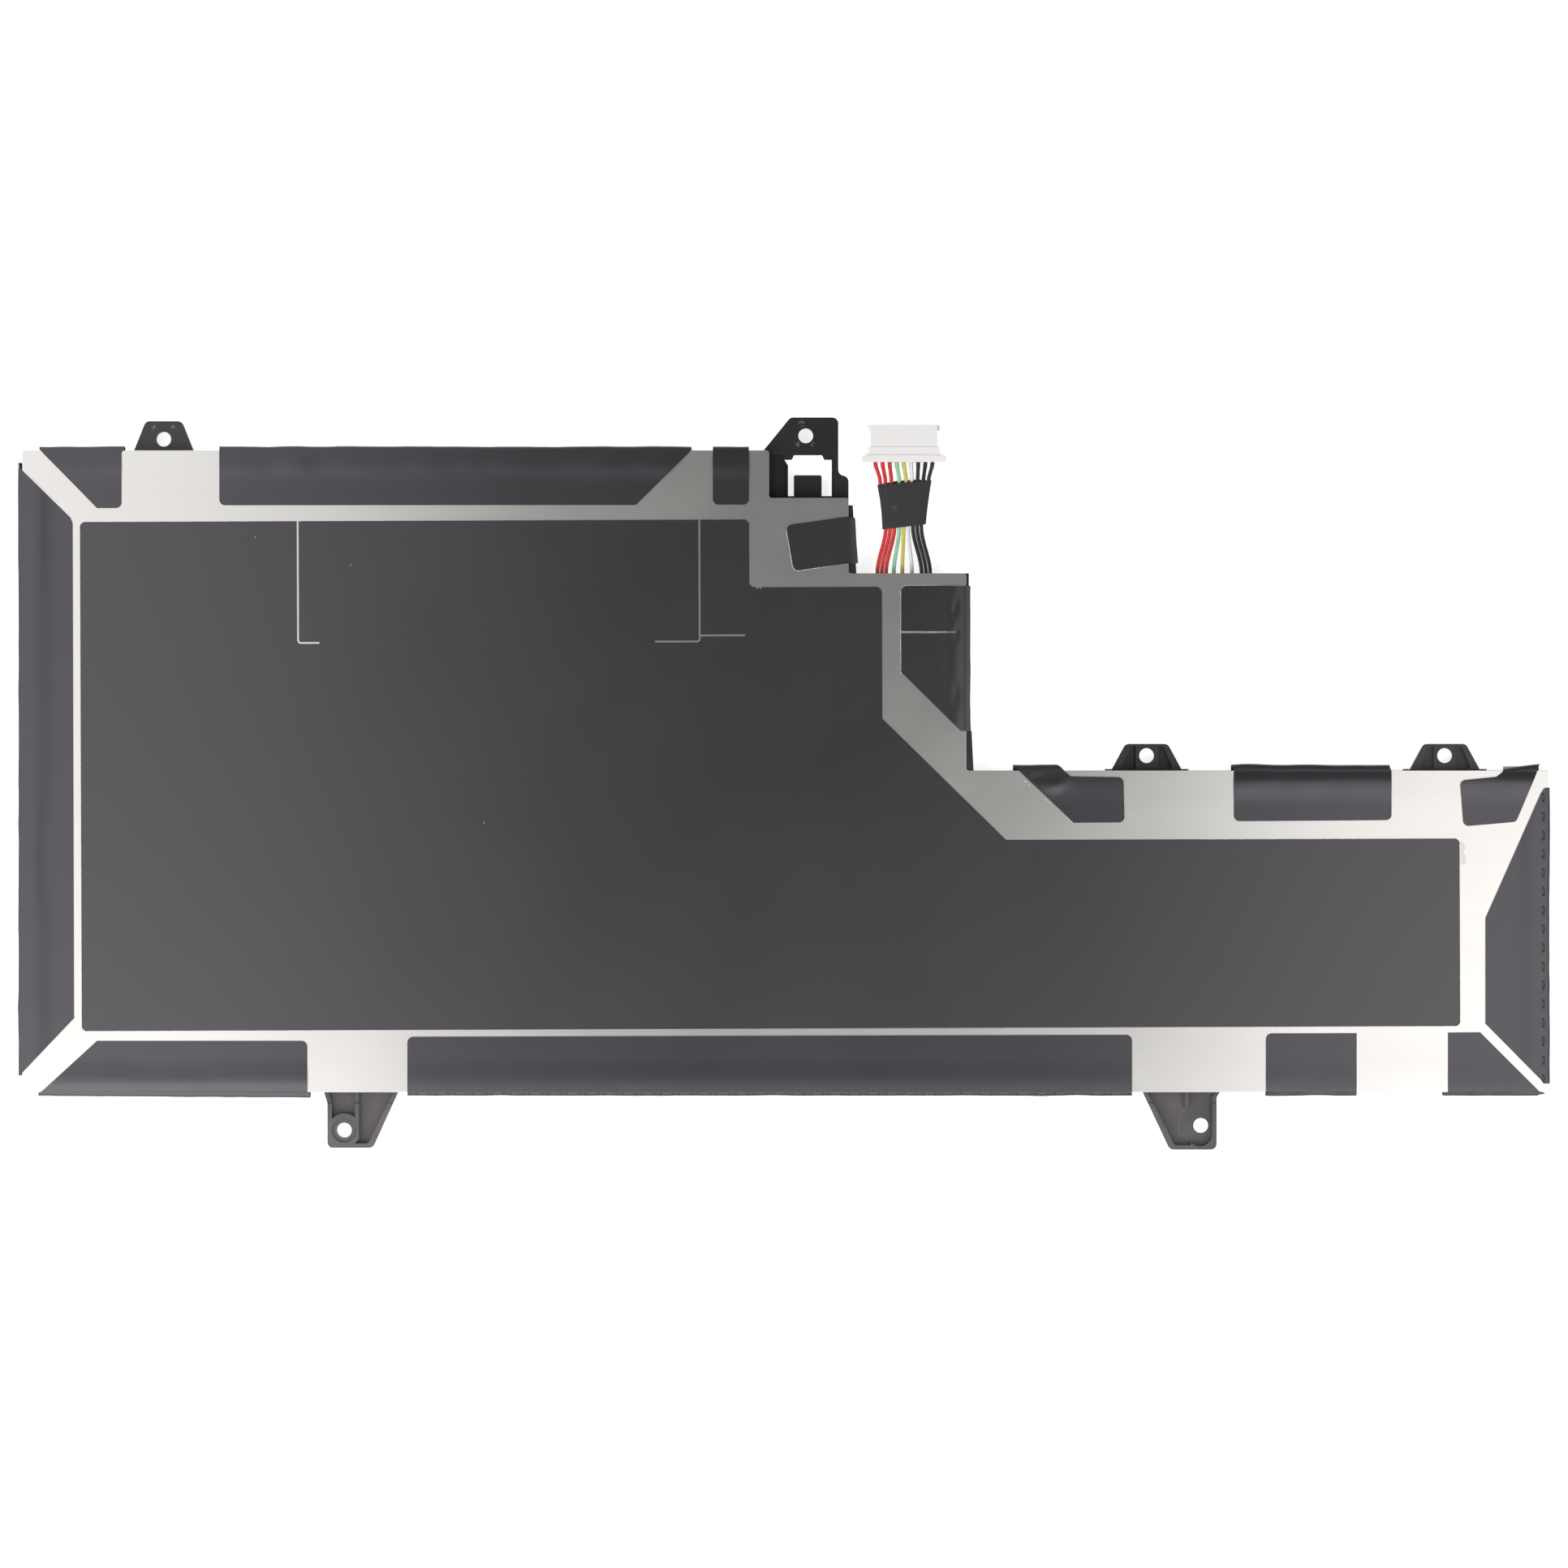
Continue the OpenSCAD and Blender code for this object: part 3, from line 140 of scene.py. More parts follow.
# Cable: nine wires, each from its joint on the board to its contact in the plug
cable = {
    "x": 21.0,
    "wireRadius": 0.35,
    "sides": 14,
    "steps": 36,
    "stationsY": (27.5, 36.8, 45.0, 52.8, 56.3),
    "heights": (2.8, 2.8, 2.3, 2.2, 2.2),  # at the stations
    "end": 57.8,
}
wireRoutes = {  # distance from the middle of the cable at each station
    "wire_red_1": (-4.8, -4.65, -3.15, -4.15, -5),
    "wire_red_2": (-3.9, -3.9, -2.4, -3.25, -3.75),
    "wire_red_3": (-3, -3.15, -1.65, -2.2, -2.5),
    "wire_green": (-1.6, -1.8, -0.8, -0.8, -1.25),
    "wire_yellow": (-0.2, -0.3, -0.05, 0.4, 0),
    "wire_white": (1.2, 1.4, 0.7, 1.4, 1.25),
    "wire_black_1": (2.8, 3.1, 1.55, 2.4, 2.5),
    "wire_black_2": (3.7, 3.85, 2.3, 3.4, 3.75),
    "wire_black_3": (4.6, 4.6, 3.05, 4.3, 5),
}


def alongRoute(values, y):
    stations = cable["stationsY"]
    for k in range(len(stations) - 1):
        if y <= stations[k + 1]:
            t = smoothStep((y - stations[k]) / (stations[k + 1] - stations[k]))
            return values[k] + (values[k + 1] - values[k]) * t
    return values[-1]


def wirePoint(route, y):
    return Vector((cable["x"] + alongRoute(route, y), y, alongRoute(cable["heights"], y)))


def addWires():
    start, end = cable["stationsY"][0], cable["end"]
    made = {}
    for node, route in wireRoutes.items():
        path = [wirePoint(route, start + (end - start) * k / cable["steps"])
                for k in range(cable["steps"] + 1)]
        points, faces = tube(path, cable["wireRadius"], cable["sides"])
        piece = meshObject(node.replace("wire_", "lead_"), points, faces)
        length = sum((b - a).length for a, b in zip(path, path[1:]))
        finishPiece(piece, node.rstrip("_123"), node)
        made[node] = (piece, path, length)
    return made


wires = addWires()
print("wires routed:", len(wires))

# Folded film. Each flap is cut flat, as (place along its edge, distance in from the plate's
# edge), and is then rolled round the edge. "root" is where it leaves the sheet underneath, and
# "hem" is the lower end of a tape that only hangs down.
film = {
    "thickness": 0.15,
    "foldRadius": 0.5,
    "cornerRadius": 1.0,
    "crestHeight": 0.32,
    "crestRun": 6.0,
    "crestLean": 0.7,  # below 1 the crest lies nearer the edge
    "crestSpread": 0.35,  # share by which its height varies along the edge
    "ripple": 0.13,  # how far the standing side wavers, in slow waves
    "rippleLength": 6.0,
    "rippleReach": 0.5,  # distance in at which the ripple ends
    "rippleFoot": 0.2,  # height at which it begins
    "rippleRise": 2.0,  # height over which it grows
    "fineRipple": 0.05,
    "fineLength": 2.3,
    "noiseRows": (3.1, 9.4),  # of the slow and the fine ripple
    "creaseAt": 0.05,  # distance in of its middle
    "creaseWander": 0.15,  # how far that wanders
    "creaseWidth": 0.16,
    "creaseShare": 0.75,  # share of its depth that it has on average
    "creaseFrom": 0.05,  # height over the plate at which a crease begins
    "clearance": 0.03,  # least height of a crease over the plate
    "dentFrom": -0.1,  # distance in at which dents begin
    "dentSharpness": 1.5,
}
slots = {
    "pitch": 3.28,
    "share": 0.5,  # of the pitch
    "halfWidth": 0.49,  # as a share of the slotted band
    "depth": 0.09,
    "leastShare": 0.01,  # of that depth, where the sheet counts as slotted
    "floorShare": 0.5,
}
sheetMesh = {
    "columnStep": 1.1,
    "columnsPerSlot": 4,
    "cornerSteps": 6,
    "foldRows": (3, 3, 6),  # under the edge, up its side and round its top
    "firstRow": 0.18,  # past the fold
    "rowSteps": ((1.2, 0.2), (film["crestRun"], 0.4), (math.inf, 1.0)),  # reach, and step up to it
    "leastFlat": 0.05,  # a shorter level run gets no row of its own
    "slotMargin": 0.1,
    "edgeMargin": 0.09,  # between the outline and the points inside it
    "samePoint": 0.02,  # points nearer to each other than this are one
    "level": 0.5,  # slope below which a run is cut at the columns
    "leastRise": 1e-6,  # a run that rises less crosses no row
    "cutDigits": 5,
    "lastCut": 0.999,  # past this share of a run, a cut is its end
    "rowDigits": 4,
    "leastSquare": 1e-12,  # of a run's length, to divide by
    "fillWithin": 1e-5,
    "bottomStep": 8.0,
    "bottomMargin": 2,
    "leastBand": 0.01,  # least width of the band of slots
    "rootEnd": 0.0001,  # a point nearer than this to a flap's root belongs to it
    "offEdge": 0.001,  # how far from the underside's outline a flap's root may lie
    "cornerMargin": 0.05,
    "mergeWithin": 0.01,
}
filmTop = pack["plateTop"] + film["thickness"]
root, hem = "root", "hem"

# For each edge of the plate: its axis, its place, the way in from it, how far the film stands
# out, how far in its roll ends, and its share of the crest
filmEdges = {
    "left": {"axis": "y", "at": pack["left"], "inward": 1, "out": 0.7, "lean": 0.1, "crest": 0.8},
    "rear": {"axis": "x", "at": pack["rear"], "inward": -1, "out": 0.7, "lean": 0.2, "crest": 1.1},
    "bay": {"axis": "y", "at": pack["bay"], "inward": -1, "out": 0.75, "lean": 0.3, "crest": 0.8},
    "arm": {"axis": "x", "at": pack["arm"], "inward": -1, "out": 1.0, "lean": 0.1, "crest": 1.2},
    "right": {"axis": "y", "at": pack["right"], "inward": -1, "out": 0.3, "lean": 0.6,
              "crest": 0.45},
    "front": {"axis": "x", "at": pack["front"], "inward": 1, "out": 0.65, "lean": 0.0,
              "crest": 0.8},
    "tape": {"axis": "y", "at": pack["latch"], "inward": -1, "out": 1.5, "lean": 0.3,
             "crest": 0.25},
}

# The flaps' outlines. A point that ends in 1 is a rounded corner. "own" holds what differs from
# its edge, "tilt" how far it slants outward, and about which place, "slots" the near and far side
# of its row of slots and their share of the depth, and "crease" how deep it dips at the edge.
flaps = {
    "leftFlap": {"edge": "left", "outline": [
        (-51.1, root), (-51.1, -0.6), (-50.5, 0.1), (-41.0, 9.15), (-40.4, 9.1), (45.6, 8.85),
        (46.6, 8.4), (54.5, 0.3), (55.1, -0.25), (56.2, -0.5), (56.2, root)]},
    "rearCornerFlap": {"edge": "rear", "outline": [
        (-130.3, root), (-130.3, -0.3), (-129.9, 0.2), (-120.2, 10.1), (-115.9, 10.1, 1),
        (-115.9, 0.4), (-115.4, -0.3), (-115.4, root)]},
    "rearLongFlap": {"edge": "rear", "outline": [
        (-98.8, root), (-98.8, 9.6, 1), (-25.9, 9.55), (-16.3, 0), (-16.2, -0.4), (-16.2, root)]},
    "bayFlap": {"edge": "bay", "outline": [
        (9.2, root), (9.2, 0.95), (19.5, 11.4), (26.3, 11.4), (26.3, 1.85), (26.63, 1.85),
        (26.63, 11.4), (34.6, 11.4, 1), (34.6, root)]},
    "armCornerFlap": {"edge": "arm", "own": {"crest": 0.45}, "outline": [
        (40.1, root), (40.1, -0.5), (41.0, -0.1), (50.65, 9.15), (59.6, 9.1, 1), (59.4, 1.2, 1),
        (50.2, 1.05), (49.2, 0.2), (48.4, -0.6), (47.8, -0.95), (47.8, root)]},
    "armMidFlap": {"edge": "arm", "own": {"ripple": 0.24}, "outline": [
        (78.3, root), (78.3, -0.6), (78.7, -0.1), (78.7, 8.9, 1), (106.3, 8.7, 1), (106.3, 0.1),
        (106.0, -0.6), (106.0, root)]},
    "armEndFlap": {"edge": "arm", "own": {"out": 0.77}, "tilt": (0.115, 129.1), "outline": [
        (126.0, root), (126.0, -0.5), (125.5, 0.45), (124.6, 1.12), (118.25, 1.75, 1),
        (118.85, 9.8, 1), (128.1, 9.0, 1), (132.1, -0.6), (132.25, -1.0), (132.25, root)]},
    "rightFlap": {"edge": "right", "slots": (0.62, 1.08, 1.0), "outline": [
        (-52.5, root), (-52.5, 0.7), (-52.0, 1.1), (-42.0, 11.0), (-23.5, 11.0), (-1.7, 1.3),
        (-0.95, 0.85), (-0.7, 0.5), (-0.7, root)]},
    "frontCornerFlap": {"edge": "front", "own": {"out": 0.82}, "tilt": (0.007, -107), "outline": [
        (-130.6, root), (-130.5, -0.5), (-120.2, 9.0), (-83.4, 9.0, 1), (-83.4, 0.2),
        (-82.9, -0.3), (-82.9, root)]},
    "frontLongFlap": {"edge": "front", "own": {"crest": 0.3}, "slots": (-0.4, -0.1, 0.3), "outline": [
        (-65.9, root), (-65.9, 9.7, 1), (60.9, 10.05, 1), (60.9, root)]},
    "frontFarFlap": {"edge": "front", "own": {"crest": 0.4}, "crease": 0.14, "outline": [
        (84.3, root), (84.3, 10.3, 1), (100.2, 10.35), (100.2, root)]},
    "frontEndFlap": {"edge": "front", "own": {"crest": 0.4}, "crease": 0.14, "outline": [
        (115.3, root), (115.3, -0.1), (116.15, -0.05), (116.15, 10.45), (121.8, 10.5),
        (132.2, 0.1), (133.1, -0.15), (133.1, -0.35), (132.0, -0.5), (132.0, root)]},
}
strapOutline = {"strap": {"edge": "rear", "outline": [
    (-12.45, root), (-12.45, 9.5, 1), (-6.15, 9.5, 1), (-6.15, root)]}}
sideTapeOutline = {"sideTape": {"edge": "tape", "tilt": (-0.07, 41.0), "outline": [
    (38.7, hem), (38.5, 0), (37.2, 9.6, 1), (45.2, 10.97, 1), (46.7, 0), (46.2, hem)]}}

# Dents in the film, or bulges where the depth is below 0: flap, place along, distance in, reach
# along, reach across, depth
filmDents = [
    ("bayFlap", 30.8, 1.9, 1.5, 0.7, 0.16),
    ("bayFlap", 26.3, 1.7, 1.2, 0.6, 0.12),
    ("bayFlap", 15.5, 1.9, 2.6, 0.8, 0.1),
    ("armCornerFlap", 44.5, 1.2, 1.6, 0.7, 0.12),
    ("armCornerFlap", 47.4, 2.6, 2.0, 1.3, -0.3),
    ("rightFlap", -9.2, 1.2, 1.2, 0.5, 0.12),
    ("rightFlap", -21.5, 1.2, 1.6, 0.6, 0.12),
    ("rightFlap", -36.0, 1.2, 1.2, 0.6, 0.08),
    ("rearLongFlap", -60.0, 3.2, 14.0, 1.6, 0.08),
    ("leftFlap", -12.0, 3.6, 12.0, 1.8, 0.1),
    ("frontCornerFlap", -108.0, 3.8, 9.0, 1.5, 0.06),
]


def edgeOf(flap):
    return {**filmEdges[flap["edge"]], **flap.get("own", {})}


# The section of the fold: its radii, and the lengths along the sheet at which its parts begin
def foldSection(flap, bottom):
    e = edgeOf(flap)
    r = min(film["foldRadius"], e["out"])
    wide, deep = e["out"] + e["lean"], film["foldRadius"]
    flat = e["out"] - r
    low = flat + r * math.pi / 2
    high = low + filmTop - bottom - r - deep
    top = high + math.pi / 2 * math.sqrt((wide ** 2 + deep ** 2) / 2)
    return {"r": r, "wide": wide, "deep": deep, "flat": flat, "low": low, "high": high, "top": top,
            "out": e["out"], "lean": e["lean"], "bottom": bottom}


# Length along the sheet for a distance d in from the plate's edge, on the top of the fold
def alongSheet(fold, d):
    if d == root:
        return 0.0
    if d == hem:
        return fold["low"]
    if d >= fold["lean"]:
        return fold["top"] + d - fold["lean"]
    turn = math.acos(min(1.0, (fold["lean"] - d) / fold["wide"]))
    return fold["high"] + turn / (math.pi / 2) * (fold["top"] - fold["high"])


# Distance in from the plate's edge and height of the outer face, at length w along the sheet
def foldPoint(fold, crest, w):
    bottom, r = fold["bottom"], fold["r"]
    if w <= fold["flat"]:
        return -w, bottom
    if w <= fold["low"]:
        a = (w - fold["flat"]) / r
        return -fold["flat"] - r * math.sin(a), bottom + r - r * math.cos(a)
    if w <= fold["high"]:
        return -fold["out"], bottom + r + (w - fold["low"])
    if w <= fold["top"]:
        a = (w - fold["high"]) / (fold["top"] - fold["high"]) * math.pi / 2
        return (fold["lean"] - fold["wide"] * math.cos(a),
                filmTop - fold["deep"] + fold["deep"] * math.sin(a))
    d = w - fold["top"] + fold["lean"]
    share = (d - fold["lean"]) / (film["crestRun"] - fold["lean"])
    rise = math.sin(math.pi * share ** film["crestLean"]) ** 2 if share < 1 else 0.0
    return d, filmTop + crest * rise


# Points of a round of radius r in place of the corner b, between a and c
def roundCorner(a, b, c, r, steps):
    u, v = (a - b).normalized(), (c - b).normalized()
    half = u.angle(v) / 2
    start, end = b + u * r / math.tan(half), b + v * r / math.tan(half)
    centre = b + (u + v).normalized() * r / math.sin(half)
    made = []
    for k in range(steps + 1):
        chord = start.lerp(end, k / steps) - centre
        made.append(centre + chord.normalized() * r)
    return made


# The outline in (along, length along the sheet), with its marked corners rounded
def roundedOutline(outline, fold):
    flat = [(Vector((p[0], alongSheet(fold, p[1]))), len(p) > 2) for p in outline]
    made = []
    for i, (b, isRound) in enumerate(flat):
        if not isRound:
            made.append(b)
            continue
        a, c = flat[i - 1][0], flat[(i + 1) % len(flat)][0]
        made += roundCorner(a, b, c, film["cornerRadius"], sheetMesh["cornerSteps"])
    return made


def insideOutline(p, outline):
    hit = False
    for a, b in zip(outline, outline[1:] + outline[:1]):
        if (a.y > p.y) != (b.y > p.y) and p.x < (b.x - a.x) * (p.y - a.y) / (b.y - a.y) + a.x:
            hit = not hit
    return hit


def distanceToOutline(p, outline):
    best = math.inf
    for a, b in zip(outline, outline[1:] + outline[:1]):
        ab = b - a
        square = max(ab.length_squared, sheetMesh["leastSquare"])
        t = max(0.0, min(1.0, (p - a).dot(ab) / square))
        best = min(best, (p - a - ab * t).length)
    return best


# Extra points where an outline crosses a row, and wherever a column meets its level runs
def splitAtRows(outline, rows, step):
    made, digits = [], sheetMesh["cutDigits"]
    for a, b in zip(outline, outline[1:] + outline[:1]):
        run, rise = b.x - a.x, b.y - a.y
        cuts = {0.0}
        if abs(rise) > sheetMesh["leastRise"]:
            cuts.update(round((row - a.y) / rise, digits) for row in rows)
        if abs(rise) < sheetMesh["level"] * abs(run):
            first, last = math.ceil(min(a.x, b.x) / step), math.floor(max(a.x, b.x) / step)
            cuts.update(round((k * step - a.x) / run, digits) for k in range(first, last + 1))
        made += [a.lerp(b, t) for t in sorted(cuts) if 0 <= t < sheetMesh["lastCut"]]
    clean = [made[0]]
    for p in made[1:]:
        if (p - clean[-1]).length > sheetMesh["samePoint"]:
            clean.append(p)
    return clean


# Lengths along the sheet at which it gets a row of points: close together round the fold
def sheetRows(fold, widest, band):
    flat, low, high, top = (fold[key] for key in ("flat", "low", "high", "top"))
    under, side, roll = sheetMesh["foldRows"]
    rows = [0.0]
    if flat > sheetMesh["leastFlat"]:
        rows.append(flat)
    rows += [flat + (low - flat) * k / under for k in range(1, under + 1)]
    rows += [low + (high - low) * k / side for k in range(1, side)]
    rows += [high + (top - high) * k / roll for k in range(roll + 1)]
    d = fold["lean"] + sheetMesh["firstRow"]
    while d < widest:
        rows.append(alongSheet(fold, d))
        d += next(step for reach, step in sheetMesh["rowSteps"] if d < reach)
    if band:
        near, far = (alongSheet(fold, v) for v in band[:2])
        margin = sheetMesh["slotMargin"]
        rows = [w for w in rows if not near - margin < w < far + margin] + [near, far]
    return sorted(set(round(w, sheetMesh["rowDigits"]) for w in rows))


# Points and triangles of an outline, with the points given inside it
def fillOutline(outline, inner):
    loop = [(i, (i + 1) % len(outline)) for i in range(len(outline))]
    filled = geometry.delaunay_2d_cdt(outline + inner, loop, [], 1, sheetMesh["fillWithin"])
    return filled[0], filled[2]


def innerPoints(outline, spots, margin):
    return [p for p in spots if insideOutline(p, outline) and distanceToOutline(p, outline) > margin]


# Triangles of one flap as it is cut flat
def cutFlap(flap, fold):
    widest = max(p[1] for p in flap["outline"] if p[1] not in (root, hem))
    band = flap.get("slots")
    rows = sheetRows(fold, widest, band)
    step = slots["pitch"] / sheetMesh["columnsPerSlot"] if band else sheetMesh["columnStep"]
    outline = splitAtRows(roundedOutline(flap["outline"], fold), rows, step)
    low = math.ceil(min(p.x for p in outline) / step)
    high = math.floor(max(p.x for p in outline) / step)
    spots = [Vector((k * step, row)) for row in rows[1:] for k in range(low, high + 1)]
    flat, faces = fillOutline(outline, innerPoints(outline, spots, sheetMesh["edgeMargin"]))
    return [Vector(p) for p in flat], faces


# Places of the flat sheet's points once it is folded round its edge
def rollFlap(name, flap, fold, flat):
    e, f = edgeOf(flap), film
    slant, about = flap.get("tilt", (0, 0))
    ripple = e.get("ripple", f["ripple"])
    slowRow, fineRow = f["noiseRows"]
    made = []
    for p in flat:
        wave = noise.noise(Vector((p.x / f["rippleLength"], e["at"], slowRow)))
        fine = noise.noise(Vector((p.x / f["fineLength"], e["at"], fineRow)))
        crest = f["crestHeight"] * e["crest"] * (1 + f["crestSpread"] * wave)
        x, z = foldPoint(fold, crest, p.y)
        if x < f["rippleReach"]:  # the standing side of the fold wavers a little
            share = smoothStep((f["rippleReach"] - x) / (f["rippleReach"] + fold["out"]))
            share *= smoothStep((z - f["rippleFoot"]) / f["rippleRise"])
            x -= share * (ripple * wave + f["fineRipple"] * fine + slant * (p.x - about))
        if z > pack["plateTop"] + f["creaseFrom"] and "crease" in flap:
            off = (x - f["creaseAt"] - f["creaseWander"] * fine) / f["creaseWidth"]
            z -= flap["crease"] * (f["creaseShare"] + fine) * math.exp(-off ** 2)
            z = max(z, pack["plateTop"] + f["clearance"])
        for dentFlap, along, across, reachAlong, reachAcross, depth in filmDents:
            if dentFlap == name and x > f["dentFrom"] and z > pack["plateTop"]:
                away = ((p.x - along) / reachAlong) ** 2 + ((x - across) / reachAcross) ** 2
                z = max(min(z, filmTop), z - depth * math.exp(-away * f["dentSharpness"]))
        inPlace = e["at"] + e["inward"] * x
        made.append(Vector((p.x, inPlace, z)) if e["axis"] == "x" else Vector((inPlace, p.x, z)))
    return made


# The sheet under the pack: its outline passes through the roots of all flaps
def bottomOutline(rootPoints):
    at = pack
    corners = [(at["left"], at["front"]), (at["right"], at["front"]), (at["right"], at["arm"]),
               (at["bay"], at["arm"]), (at["bay"], at["bayRear"]), (at["latch"], at["bayRear"]),
               (at["latch"], at["latchRear"]), (at["main"], at["latchRear"]),
               (at["main"], at["rear"]), (at["left"], at["rear"])]
    outline, margin = [], sheetMesh["cornerMargin"]
    for a, b in zip(corners, corners[1:] + corners[:1]):
        a, b = Vector(a), Vector(b)
        outline.append(a)
        along = (b - a).normalized()
        onEdge = []
        for p in rootPoints:
            t = (p - a).dot(along)
            isNear = (p - a - along * t).length < sheetMesh["offEdge"]
            if isNear and margin < t < (b - a).length - margin:
                onEdge.append((t, p))
        outline += [p for t, p in sorted(onEdge, key=lambda pair: pair[0])]
    return outline


# Points and triangles of the sheet under the pack
def fillBottom(rootPoints):
    step = sheetMesh["bottomStep"]
    columns = range(math.floor(pack["left"] / step), math.ceil(pack["right"] / step) + 1)
    rows = range(math.floor(pack["front"] / step), math.ceil(pack["rear"] / step) + 1)
    outline = bottomOutline(rootPoints)
    spots = [Vector((x * step, y * step)) for x in columns for y in rows]
    return fillOutline(outline, innerPoints(outline, spots, sheetMesh["bottomMargin"]))


def setPointValues(data, label, values):
    data.attributes.new(label, "FLOAT", "POINT").data.foreach_set("value", values)


# One sheet from its flaps, with the sheet under the pack where that is asked for
def foldSheet(name, sheetFlaps, bottom, withBottom):
    points, faces, rootPoints = [], [], []
    marks = {"along": [], "across": [], "slotted": []}
    for flapName, flap in sheetFlaps.items():
        fold = foldSection(flap, bottom)
        flat, cut = cutFlap(flap, fold)
        placed = rollFlap(flapName, flap, fold, flat)
        faces += [tuple(len(points) + i for i in f) for f in cut]
        points += placed
        nearSlot, farSlot, deep = flap.get("slots", (0, 0, 0))
        near, far = alongSheet(fold, nearSlot), alongSheet(fold, farSlot)
        marks["along"] += [p.x for p in flat]
        band = max(far - near, sheetMesh["leastBand"])
        marks["across"] += [(p.y - near) / band for p in flat]
        marks["slotted"] += [deep] * len(flat)
        atRoot = [q for p, q in zip(flat, placed) if p.y < sheetMesh["rootEnd"]]
        rootPoints += [q.to_2d() for q in atRoot]
    if withBottom:
        flat, cut = fillBottom(rootPoints)
        faces += [tuple(len(points) + i for i in f) for f in cut]
        points += [Vector((p[0], p[1], bottom)) for p in flat]
        for values in marks.values():
            values += [0.0] * len(flat)
    piece = meshObject(name, points, faces)
    for label, values in marks.items():
        setPointValues(piece.data, label, values)
    work = bmesh.new()
    work.from_mesh(piece.data)
    bmesh.ops.remove_doubles(work, verts=work.verts, dist=sheetMesh["mergeWithin"] * mm)
    bmesh.ops.recalc_face_normals(work, faces=work.faces)
    top = [f for f in work.faces if f.calc_center_median().z > pack["plateTop"] * mm]
    if sum(f.normal.z * f.calc_area() for f in top) < 0:
        bmesh.ops.reverse_faces(work, faces=work.faces)
    work.to_mesh(piece.data)
    work.free()
    return piece


# Node helpers. An input gets a value, or a link where it is given another socket.
def feed(tree, socket, value):
    if isinstance(value, bpy.types.NodeSocket):
        tree.links.new(value, socket)
    else:
        socket.default_value = value


def addNode(tree, kind, inputs=None, **settings):
    made = tree.nodes.new(kind)
    for key, value in settings.items():
        setattr(made, key, value)
    for key, value in (inputs or {}).items():
        feed(tree, made.inputs[key], value)
    return made


def addMath(tree, operation, *values):
    return addNode(tree, "ShaderNodeMath", dict(enumerate(values)), operation=operation).outputs[0]


def rangeOf(tree, value, low, high, fromLow=0.0, fromHigh=1.0):
    return addNode(tree, "ShaderNodeMapRange", {
        "Value": value, "To Min": low, "To Max": high,
        "From Min": fromLow, "From Max": fromHigh}).outputs[0]


# Named inputs of a tree or group: the value that each starts with tells its kind
def addInputs(tree, inputs):
    kinds = {float: "Float", int: "Int", Vector: "Vector", tuple: "Color",
             bpy.types.Material: "Material"}
    for label, value in inputs.items():
        made = tree.interface.new_socket(label, in_out="INPUT",
                                         socket_type="NodeSocket" + kinds[type(value)])
        made.default_value = value


def addOutputs(tree, outputs):
    for label, kind in outputs.items():
        tree.interface.new_socket(label, in_out="OUTPUT", socket_type="NodeSocket" + kind)


# A Geometry Nodes tree, with the sockets inside it
def newTree(name, inputs):
    tree = bpy.data.node_groups.new(name, "GeometryNodeTree")
    tree.interface.new_socket("Geometry", in_out="INPUT", socket_type="NodeSocketGeometry")
    addInputs(tree, inputs)
    addOutputs(tree, {"Geometry": "Geometry"})
    return tree, tree.nodes.new("NodeGroupInput").outputs, tree.nodes.new("NodeGroupOutput").inputs


def readAttribute(tree, label, kind="FLOAT"):
    return addNode(tree, "GeometryNodeInputNamedAttribute", {"Name": label}, data_type=kind).outputs[0]


def randomValue(tree, low, high, seed):
    return addNode(tree, "FunctionNodeRandomValue", {2: low, 3: high, "Seed": seed},
                   data_type="FLOAT").outputs[1]


def combine(tree, **parts):
    return addNode(tree, "ShaderNodeCombineXYZ", parts).outputs[0]


# Every tree ends so: its instances made real, and its material set
def dressReal(tree, geometry, material):
    real = addNode(tree, "GeometryNodeRealizeInstances", {"Geometry": geometry})
    return addNode(tree, "GeometryNodeSetMaterial",
                   {"Geometry": real.outputs[0], "Material": material}).outputs[0]


# Keeps the plain mesh that a piece's modifiers make
def applyModifiers(piece):
    evaluated = piece.evaluated_get(bpy.context.evaluated_depsgraph_get())
    result = bpy.data.meshes.new_from_object(evaluated)
    piece.modifiers.clear()
    old = piece.data
    piece.data = result
    bpy.data.meshes.remove(old)


# Makes a tree with the inputs given, runs it on a piece and keeps the plain mesh that comes out
def runTree(piece, makeTree, values):
    modifier = piece.modifiers.new("make", "NODES")
    modifier.node_group = makeTree(values)
    for item in modifier.node_group.interface.items_tree:
        if item.item_type == "SOCKET" and item.in_out == "INPUT" and item.name in values:
            modifier[item.identifier] = values[item.name]
    applyModifiers(piece)


# Materials
effects = {
    "grainDetail": (3.0, 0.6),  # detail and roughness of the noise
    "cloudDetail": (4.0, 0.55),
    "cloudRange": (-0.6, 1.6),  # noise keeps near 0.5, so each range reaches past 0 and 1
    "steelRange": (-0.8, 1.8),
    "dustScale": 400.0,
    "dustSize": 0.05,  # of a speck, as a share of its cell
    "dustColor": (0.4, 0.39, 0.38, 1),
    "patchRange": (-1.2, 2.6),
    "scratchScale": 2600.0,
    "scratchDetail": (2.0, 0.5),
    "scratchLevel": 0.45,  # noise above this is scratched
    "scratchContrast": 12.0,
}


def newMaterial(name):
    made = bpy.data.materials.new(name)
    made.use_nodes = True
    tree = made.node_tree
    shader = next(n for n in tree.nodes if n.type == "BSDF_PRINCIPLED")
    return made, tree, shader


# A shader node group, with the sockets inside it
def newGroup(name, inputs, outputs):
    tree = bpy.data.node_groups.new(name, "ShaderNodeTree")
    addInputs(tree, inputs)
    addOutputs(tree, outputs)
    return tree, tree.nodes.new("NodeGroupInput").outputs, tree.nodes.new("NodeGroupOutput").inputs


